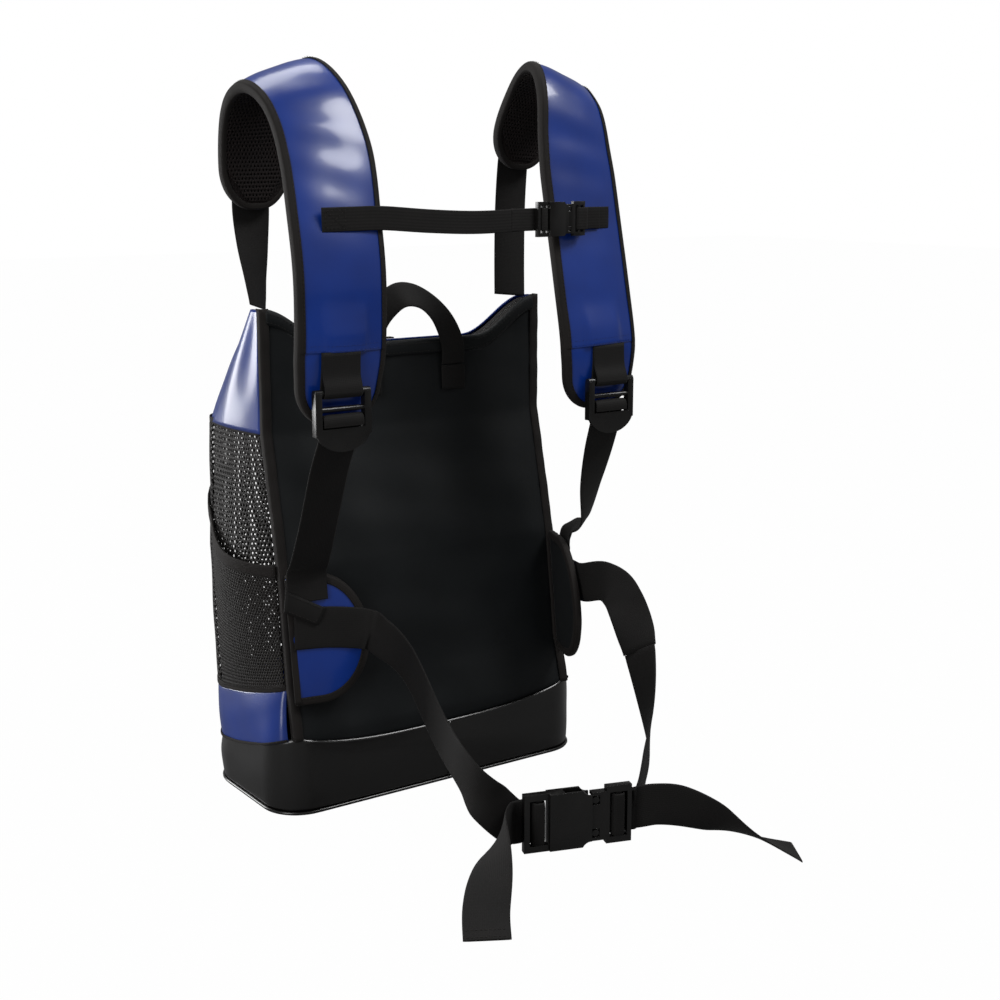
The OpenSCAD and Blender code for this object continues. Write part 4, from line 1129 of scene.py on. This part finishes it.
# %% Fins
def fin_edge(q):
    """D outline q inside the edge: straight out, then half an ellipse."""
    c = FIN_STRAIGHT
    angle = np.linspace(-np.pi / 2, np.pi / 2, 60)
    arc = np.stack([c + (FIN_L - q - c) * np.cos(angle), (FIN_H / 2 - q) * np.sin(angle)], 1)
    root = np.linspace(0, c, 12)[:-1]
    return np.vstack([np.stack([root, np.full(11, -(FIN_H / 2 - q))], 1), arc,
                      np.stack([root[::-1], np.full(11, FIN_H / 2 - q)], 1)])


def fin_height(a, z):
    """Outer face: full in the middle, 3 mm lower at the bound edge."""
    c = FIN_STRAIGHT
    r = np.sqrt((np.maximum(a - c, 0) / (FIN_L - c)) ** 2 + (z / (FIN_H / 2)) ** 2)
    return 6.0 + 3.0 * (1 - np.clip(r, 0, 1) ** 3) + 0.35 * ripple(a, z, 12)


def fin(s, side):
    """Pad, lining, binding and stitches of one fin."""
    c = FIN_STRAIGHT
    a = np.concatenate([np.linspace(0, c, 18)[:-1],
                        c + (FIN_L - 3 - c) * np.sin(np.linspace(0, np.pi / 2, 26))])
    half = (FIN_H / 2 - 3) * np.sqrt(np.maximum(1 - (np.maximum(a - c, 0)
                                                     / (FIN_L - 3 - c)) ** 2, 1e-4))
    u = np.linspace(-1, 1, 41)
    z = half[:, None] * u[None, :]
    aa = np.broadcast_to(a[:, None], z.shape)
    face = fin_point(s, aa, fin_height(aa, z), z)
    inner = fin_point(s, aa, 2.0 + 0 * z, z)
    body = slab(side + "_fin_cover", face, inner)
    dress(soften(body), BLUE_VINYL, "blue_vinyl", "bag", side + "_hip_fin")
    lining = fin_point(s, aa, 1.2 - 0.8 * (1 - (z / 60) ** 2) * np.sin(np.pi * aa / FIN_L), z)
    lining = slab(side + "_fin_back", lining, fin_point(s, aa, 1.9 + 0 * z, z))
    dress(lining, NYLON, "nylon", "bag", side + "_fin_lining")
    q = np.array([8.6, 7.8, 5, 2.4, 0.6, -0.3, 0.3, 2.4, 5, 7.6, 8.2, 7.4, 4, 1.6, 1.6, 4, 7.6])
    h = np.array([0.4, 1.0, 1.2, 1.1, 0.6, -3.4, -0.6, -1.1, -1.2, -1.1, -0.2,
                  0.1, 0.1, 0.3, -0.4, -0.1, 0.2])
    face = np.array([1, 1, 1, 1, 1, 1, 0, 0, 0, 0, 0, 0, 0, 0, 1, 1, 1])
    loops = []
    for qq, hh, f in zip(q, h, face):
        edge = fin_edge(qq)
        base = fin_height(edge[:, 0], edge[:, 1]) if f else 1.2 + 0 * edge[:, 0]
        loops.append(fin_point(s, edge[:, 0], base + hh, edge[:, 1]))
    rings = np.stack(loops, 1)
    bound = skin(side + "_fin_edge", rings, uv=spread(
        run_lengths(rings[:, 0])[:, None], np.arange(17)[None, :] * 1.8))
    dress(soften(bound), TAPE, "binding", "bag", side + "_fin_binding")
    edge = fin_edge(7.2)
    row = fin_point(s, edge[:, 0], fin_height(edge[:, 0], edge[:, 1]) + 1.2, edge[:, 1])
    up = row - fin_point(s, edge[:, 0], 0 * edge[:, 0], edge[:, 1])
    dress(stitches(side + "_fin_edge_stitch", row, up), THREAD, "binding", "bag")
    root = np.linspace(-57, 57, 40)
    tape = carry(side + "_fin_root", fin_point(s, 1.2, FIN_T - 0.6, root),
                 np.tile(fin_along(s), (40, 1)), strap_section(6.0, 1.4, 7))
    dress(tape, TAPE, "binding", "bag")
    corner = np.array([[-3, 48], [33, 29], [24, 14], [-6, 29]], float)
    v, w = np.meshgrid(np.linspace(0, 1, 9), np.linspace(0, 1, 13), indexing="ij")
    top = corner[0] + (corner[1] - corner[0]) * w[..., None]
    bottom = corner[3] + (corner[2] - corner[3]) * w[..., None]
    flat = top + (bottom - top) * v[..., None]
    lift = FIN_T + 2.3 + 0.9 * np.sin(np.pi * v)
    tab_top = fin_point(s, flat[..., 0], lift + 1.6, flat[..., 1])
    tab_low = fin_point(s, flat[..., 0], lift, flat[..., 1])
    tab = slab(side + "_fin_patch", tab_top, tab_low)
    dress(tab, WIDE_WEBBING, "webbing", "bag", side + "_fin_tab")
    line = corner + np.array([[3, -3.4], [-3.6, -0.2], [-1.6, 3.2], [4, 0.6]])
    seg = run_lengths(line)
    f = np.linspace(0, seg[-1], 50)
    la, lz = np.interp(f, seg, line[:, 0]), np.interp(f, seg, line[:, 1])
    row = fin_point(s, la, FIN_T + 4.4, lz)
    up = row - fin_point(s, la, FIN_T, lz)
    dress(stitches(side + "_tab_stitch", row, up), THREAD, "webbing", "bag")


for s, side in SIDES:
    fin(s, side)
print("fins made")


# %% [markdown]
# ## Belt and chest strap
# Each strap runs round its buckle's middle bar. The buckle has its own frame:
# X along the webbing, Y through it, turned by a yaw about the vertical.

# %% Belts
WAIST_MOUTH, WAIST_YAW = np.array([4.0, -311, 44]), np.radians(-18)
CHEST_MOUTH, CHEST_YAW, CHEST_SCALE = np.array([104.0, -139, 541]), np.radians(6), 0.6
HOUSING_BAR, LATCH_BAR = -47, 25
WRAP = np.array([[21, 7.8], [11, 7.8], [0, 7.4], [-4.8, 4], [-5.2, 0], [-4, -4.6], [0, -5.6],
                 [4, -4.6], [5.2, 0], [7, 4.2], [11, 5.2], [20, 5.2]])


def placed(at, yaw, k, points):
    """Buckle coordinates (x, y) to the bag's: turned by yaw, scaled, and moved."""
    x, y = np.asarray(points, float).T[:2]
    return at + k * np.stack([x * np.cos(yaw) - y * np.sin(yaw),
                              x * np.sin(yaw) + y * np.cos(yaw), 0 * x], 1)


def wrap(at, yaw, k, bar, s):
    """The way round a middle bar, from side s and back to it."""
    return placed(at, yaw, k, WRAP * [s, 1] + [bar, 0])


FIN_UP = [0, FIN_LEAN, 1]
left_sewn = [fin_point(-1, *p) for p in ((3, SEWN, 12), (30, SEWN, 11), (54, SEWN + 0.4, 8),
                                         (70, SEWN + 3.8, 5), (79, SEWN + 11, 0))]
left_route = np.vstack([left_sewn, [[-68, -134, 146], [-78, -200, 107], [-88, -250, 90],
                                    [-82, -276, 70]],
                        wrap(WAIST_MOUTH, WAIST_YAW, 1, HOUSING_BAR, -1),
                        [[-72, -293, 45], [-93, -308, 40], [-118, -337, 28], [-136, -358, 14],
                         [-148, -377, 2]]])
left_wide = ([FIN_UP] * 5 + [[0, -0.25, 1], [0, -0.3, 1], [0, -0.2, 1], UP] + [UP] * 12
             + [[0.2, 0, 1], [0.6, -0.3, 0.8], [0.8, -0.5, 0.3], [0.82, -0.57, 0],
                [0.82, -0.57, 0]])
piece, left_path, left_w = strap("left_waist_strap", left_route, left_wide, BELT_W, BELT_T)
tuple(fin_point(-1, 66, SEWN, 6) * MM)
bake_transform(piece)
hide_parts("left_belt")
sew_on("left_belt_sewing", left_path, left_w,
       [[(6, -16), (6, 16)], [(10, -16), (10, 16)], [(50, -16), (50, 16)],
        [(4, -16.5), (54, -16.5)], [(4, 16.5), (54, 16.5)]], 1.0)

right_sewn = [fin_point(1, *p) for p in ((3, SEWN, 21), (32, SEWN, 21), (56, SEWN + 0.4, 22),
                                        (72, SEWN + 2.6, 24))]
right_route = np.vstack([right_sewn, [[135, -165, 199], [141, -185, 186], [140, -212, 142],
                                      [116, -256, 82], [80, -292, 62]],
                         wrap(WAIST_MOUTH, WAIST_YAW, 1, LATCH_BAR, 1),
                         [[62, -330, 47], [80, -342, 45], [102, -362, 36], [134, -386, 17],
                          [162, -402, 3]]])
right_wide = ([FIN_UP] * 4 + [[0.2, 0, 1], [0.3, 0.1, 1], [0.3, 0.2, 1], [0.2, 0.2, 1], UP]
              + [UP] * 12 + [UP, [-0.2, 0.1, 1], [-0.5, 0, 0.8], [-0.55, -0.75, 0.35],
                             [-0.55, -0.8, 0]])
path, wide = smooth_path(right_route, 10), smooth_path(right_wide, 10)
split = 6 * 10
section = strap_section(BELT_W, BELT_T)
for name, part in (("right_waist_strap", slice(0, split + 1)),
                   ("latch_strap", slice(split, None))):
    piece = carry(name, path[part], wide[part], section)
    piece.data.materials.append(WIDE_WEBBING)
    if name == "latch_strap":
        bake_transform(piece)
        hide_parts("right_belt")
    else:
        tuple(fin_point(1, 66, SEWN, 22) * MM)
        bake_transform(piece)

for name, p, w, body in (("left_tail_hem", left_path, left_w, "belt_loop"),
                         ("right_tail_hem", path, wide, "waist_clip")):
    total = run_lengths(p)[-1]
    sew_on(name, p, w, [[(total - 9, -17), (total - 9, 17)],
                        [(total - 2.5, -17), (total - 2.5, 17)]], -1.0, body)

chest_route = np.vstack([[[-156, -152.7, 545], [-126, -154.5, 545.5], [-98, -154, 545.5],
                          [-50, -152, 542], [0, -149, 540]],
                         wrap(CHEST_MOUTH, CHEST_YAW, CHEST_SCALE, HOUSING_BAR, -1),
                         [[40, -142.8, 541]]])
piece, chest_path, chest_w = strap("left_chest_strap", chest_route, [UP] * len(chest_route),
                                   CHEST_W, CHEST_T, RIBBED_WEBBING)
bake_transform(piece)
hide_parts("left_chest_webbing")
sew_on("left_chest_sewing", chest_path, chest_w, box_stitch(3, 21, 7.5), -0.75)

short_turn = np.array([[32, 7.4], [25, 7], [20.6, 4], [19.8, 0], [21, -4.6], [25, -5.6],
                       [32, -5.6], [38, -5.8], [44, -0.6]])
short_route = np.vstack([[[163, -127, 541], [146, -129, 541], [132, -129.9, 541]],
                         placed(CHEST_MOUTH, CHEST_YAW, CHEST_SCALE, short_turn),
                         [[134, -131.6, 541], [150, -130.2, 541]]])
piece, short_path, short_w = strap("right_chest_strap", short_route, [UP] * len(short_route),
                                   CHEST_W, CHEST_T, RIBBED_WEBBING)
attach(piece, "bag")
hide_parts("right_chest_webbing")
total = run_lengths(short_path)[-1]
sew_on("right_chest_sewing", short_path, short_w, box_stitch(total - 16, total - 2, 7.5), 0.75)
print("belts made")


# %% [markdown]
# ## Moulded and metal parts
# The clips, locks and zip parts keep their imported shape. A copy of each is
# merged, its flat faces are joined, and a small bevel rounds the edges as a
# mould would.

# %% Hardware
def moulding(node, name, material, slot, body, bevel):
    """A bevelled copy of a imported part."""
    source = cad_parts[node]
    mesh = source.data.copy()
    work = bmesh.new()
    work.from_mesh(mesh)
    bmesh.ops.remove_doubles(work, verts=work.verts, dist=1e-5)
    bmesh.ops.dissolve_limit(work, angle_limit=np.radians(1.5), verts=work.verts,
                             edges=work.edges)
    work.to_mesh(mesh)
    work.free()
    piece = bpy.data.objects.new(name, mesh)
    bpy.context.scene.collection.objects.link(piece)
    round_off = piece.modifiers.new("round", "BEVEL")
    round_off.width = bevel * MM
    round_off.segments = 3
    round_off.limit_method = "ANGLE"
    round_off.angle_limit = np.radians(35)
    round_off.harden_normals = True
    mesh.polygons.foreach_set("use_smooth", np.ones(len(mesh.polygons), bool))
    return dress(piece, material, slot, body, node)


HARDWARE = [
    ("left_ladder_lock", "left_lock", 0.7), ("right_ladder_lock", "right_lock", 0.7),
    ("waist_housing", "belt_loop", 0.9), ("waist_latch", "waist_clip", 0.8),
    ("waist_prong_upper", "waist_prong_a", 0.5), ("waist_prong_lower", "waist_prong_b", 0.5),
    ("chest_housing", "chest_socket", 0.6), ("chest_latch", "bag", 0.5),
    ("chest_prong_upper", "chest_prong_a", 0.3), ("chest_prong_lower", "chest_prong_b", 0.3)]
for node, body, bevel in HARDWARE:
    moulding(node, node + "_moulding", PLASTIC, "buckle_plastic", body, bevel)
moulding("zip_slider", "zip_slider_cast", PAINTED_ZINC, "zip_metal", "zip_runner", 0.35)
moulding("zip_pull", "zip_pull_plate", PAINTED_ZINC, "zip_metal", "zip_puller", 0.3)
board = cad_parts["base_board"]
board.data.materials.clear()
board.data.materials.append(STIFFENER)
print(len(HARDWARE) + 2, "hardware parts")


# %% [markdown]
# ## The zip
# A nylon coil zip closes the ridge. Two tapes meet at a double row of small
# coil turns, each one a bead across the line.

# %% Zip
zip_x = np.linspace(-(TOP_W - 7), TOP_W - 7, 160)
zip_y = FRONT + LEAN - 1 + 11
for n, s in enumerate((-1, 1)):
    line = np.stack([zip_x, np.full(160, zip_y + s * 4.0), ridge_at(zip_x) - 3.0], 1)
    tape = carry("zip_tape_%d" % n, line, np.tile([0.0, 1, 0], (160, 1)),
                 strap_section(7, 0.9, 5))
    dress(tape, TAPE, "nylon", "bag", *(["zip_tape"] if n == 0 else []))
    row = np.stack([zip_x, np.full(160, zip_y + s * 1.0), ridge_at(zip_x) - 2.7], 1)
    coil = stitches("zip_coil_%d" % n, row, np.tile([0.0, 0, 1], (160, 1)), 1.6, 1.3, 1.2, 0)
    dress(coil, PLASTIC, "nylon", "bag")
print("zip made")


# %% [markdown]
# ## Light and floor
# A pale floor, and a surround that is bright to the camera and dim to the rest.
# Four soft lights, at the left, behind, in front and above, give the vinyl its
# broad highlights.

# %% Light and floor
world = bpy.data.worlds.new("surround")
world.use_nodes = True
surround = world.node_tree.nodes["Background"]
seen = add(world, "ShaderNodeLightPath")
glow = add(world, "ShaderNodeMapRange", {"To Min": 0.22, "To Max": 1.0},
           {"Value": seen.outputs["Is Camera Ray"]})
surround.inputs["Color"].default_value = linear("#FFFFFF")
world.node_tree.links.new(glow.outputs["Result"], surround.inputs["Strength"])
bpy.context.scene.world = world


def soft_light(name, at, target, size, power):
    """A rectangular area light aimed at a point, sizes in metres, power in watts."""
    data = bpy.data.lights.new(name, "AREA")
    data.shape = "RECTANGLE"
    data.size, data.size_y = size
    data.energy = power
    light = bpy.data.objects.new(name, data)
    bpy.context.scene.collection.objects.link(light)
    aim(light, at, target)


soft_light("left", (-1.9, -0.9, 1.0), (0, 0, 0.35), (0.9, 1.4), 18)
soft_light("rear", (-1.3, 1.8, 0.5), (-0.1, 0, 0.3), (0.7, 1.2), 26)
soft_light("front", (1.0, -1.1, 2.0), (0, -0.1, 0.5), (0.9, 0.6), 22)
soft_light("top", (0.0, 0.5, 2.2), (0, 0, 0.4), (1.4, 0.6), 16)
bpy.context.scene.view_settings.view_transform = "Standard"

stage_mesh = make("stage_floor", [[-9000, -9000, -0.6], [9000, -9000, -0.6],
                                  [9000, 9000, -0.6], [-9000, 9000, -0.6]], [[0, 1, 2, 3]])
paper, white = finish("white paper", {"Base Color": linear("#7A7A7A"), "Roughness": 0.9})
bright = add(paper, "ShaderNodeEmission", {"Strength": 1.0})
seen = add(paper, "ShaderNodeLightPath")
share = add(paper, "ShaderNodeMath", {"operation": "MULTIPLY"})
share.inputs[1].default_value = 0.99
paper.node_tree.links.new(seen.outputs["Is Camera Ray"], share.inputs[0])
both = add(paper, "ShaderNodeMixShader", None, {"Fac": share.outputs["Value"]})
paper.node_tree.links.new(white.outputs["BSDF"], both.inputs[1])
paper.node_tree.links.new(bright.outputs["Emission"], both.inputs[2])
add(paper, "ShaderNodeOutputMaterial", {"is_active_output": True}, {"Surface": both.outputs["Shader"]})
stage_mesh.data.materials.append(paper)
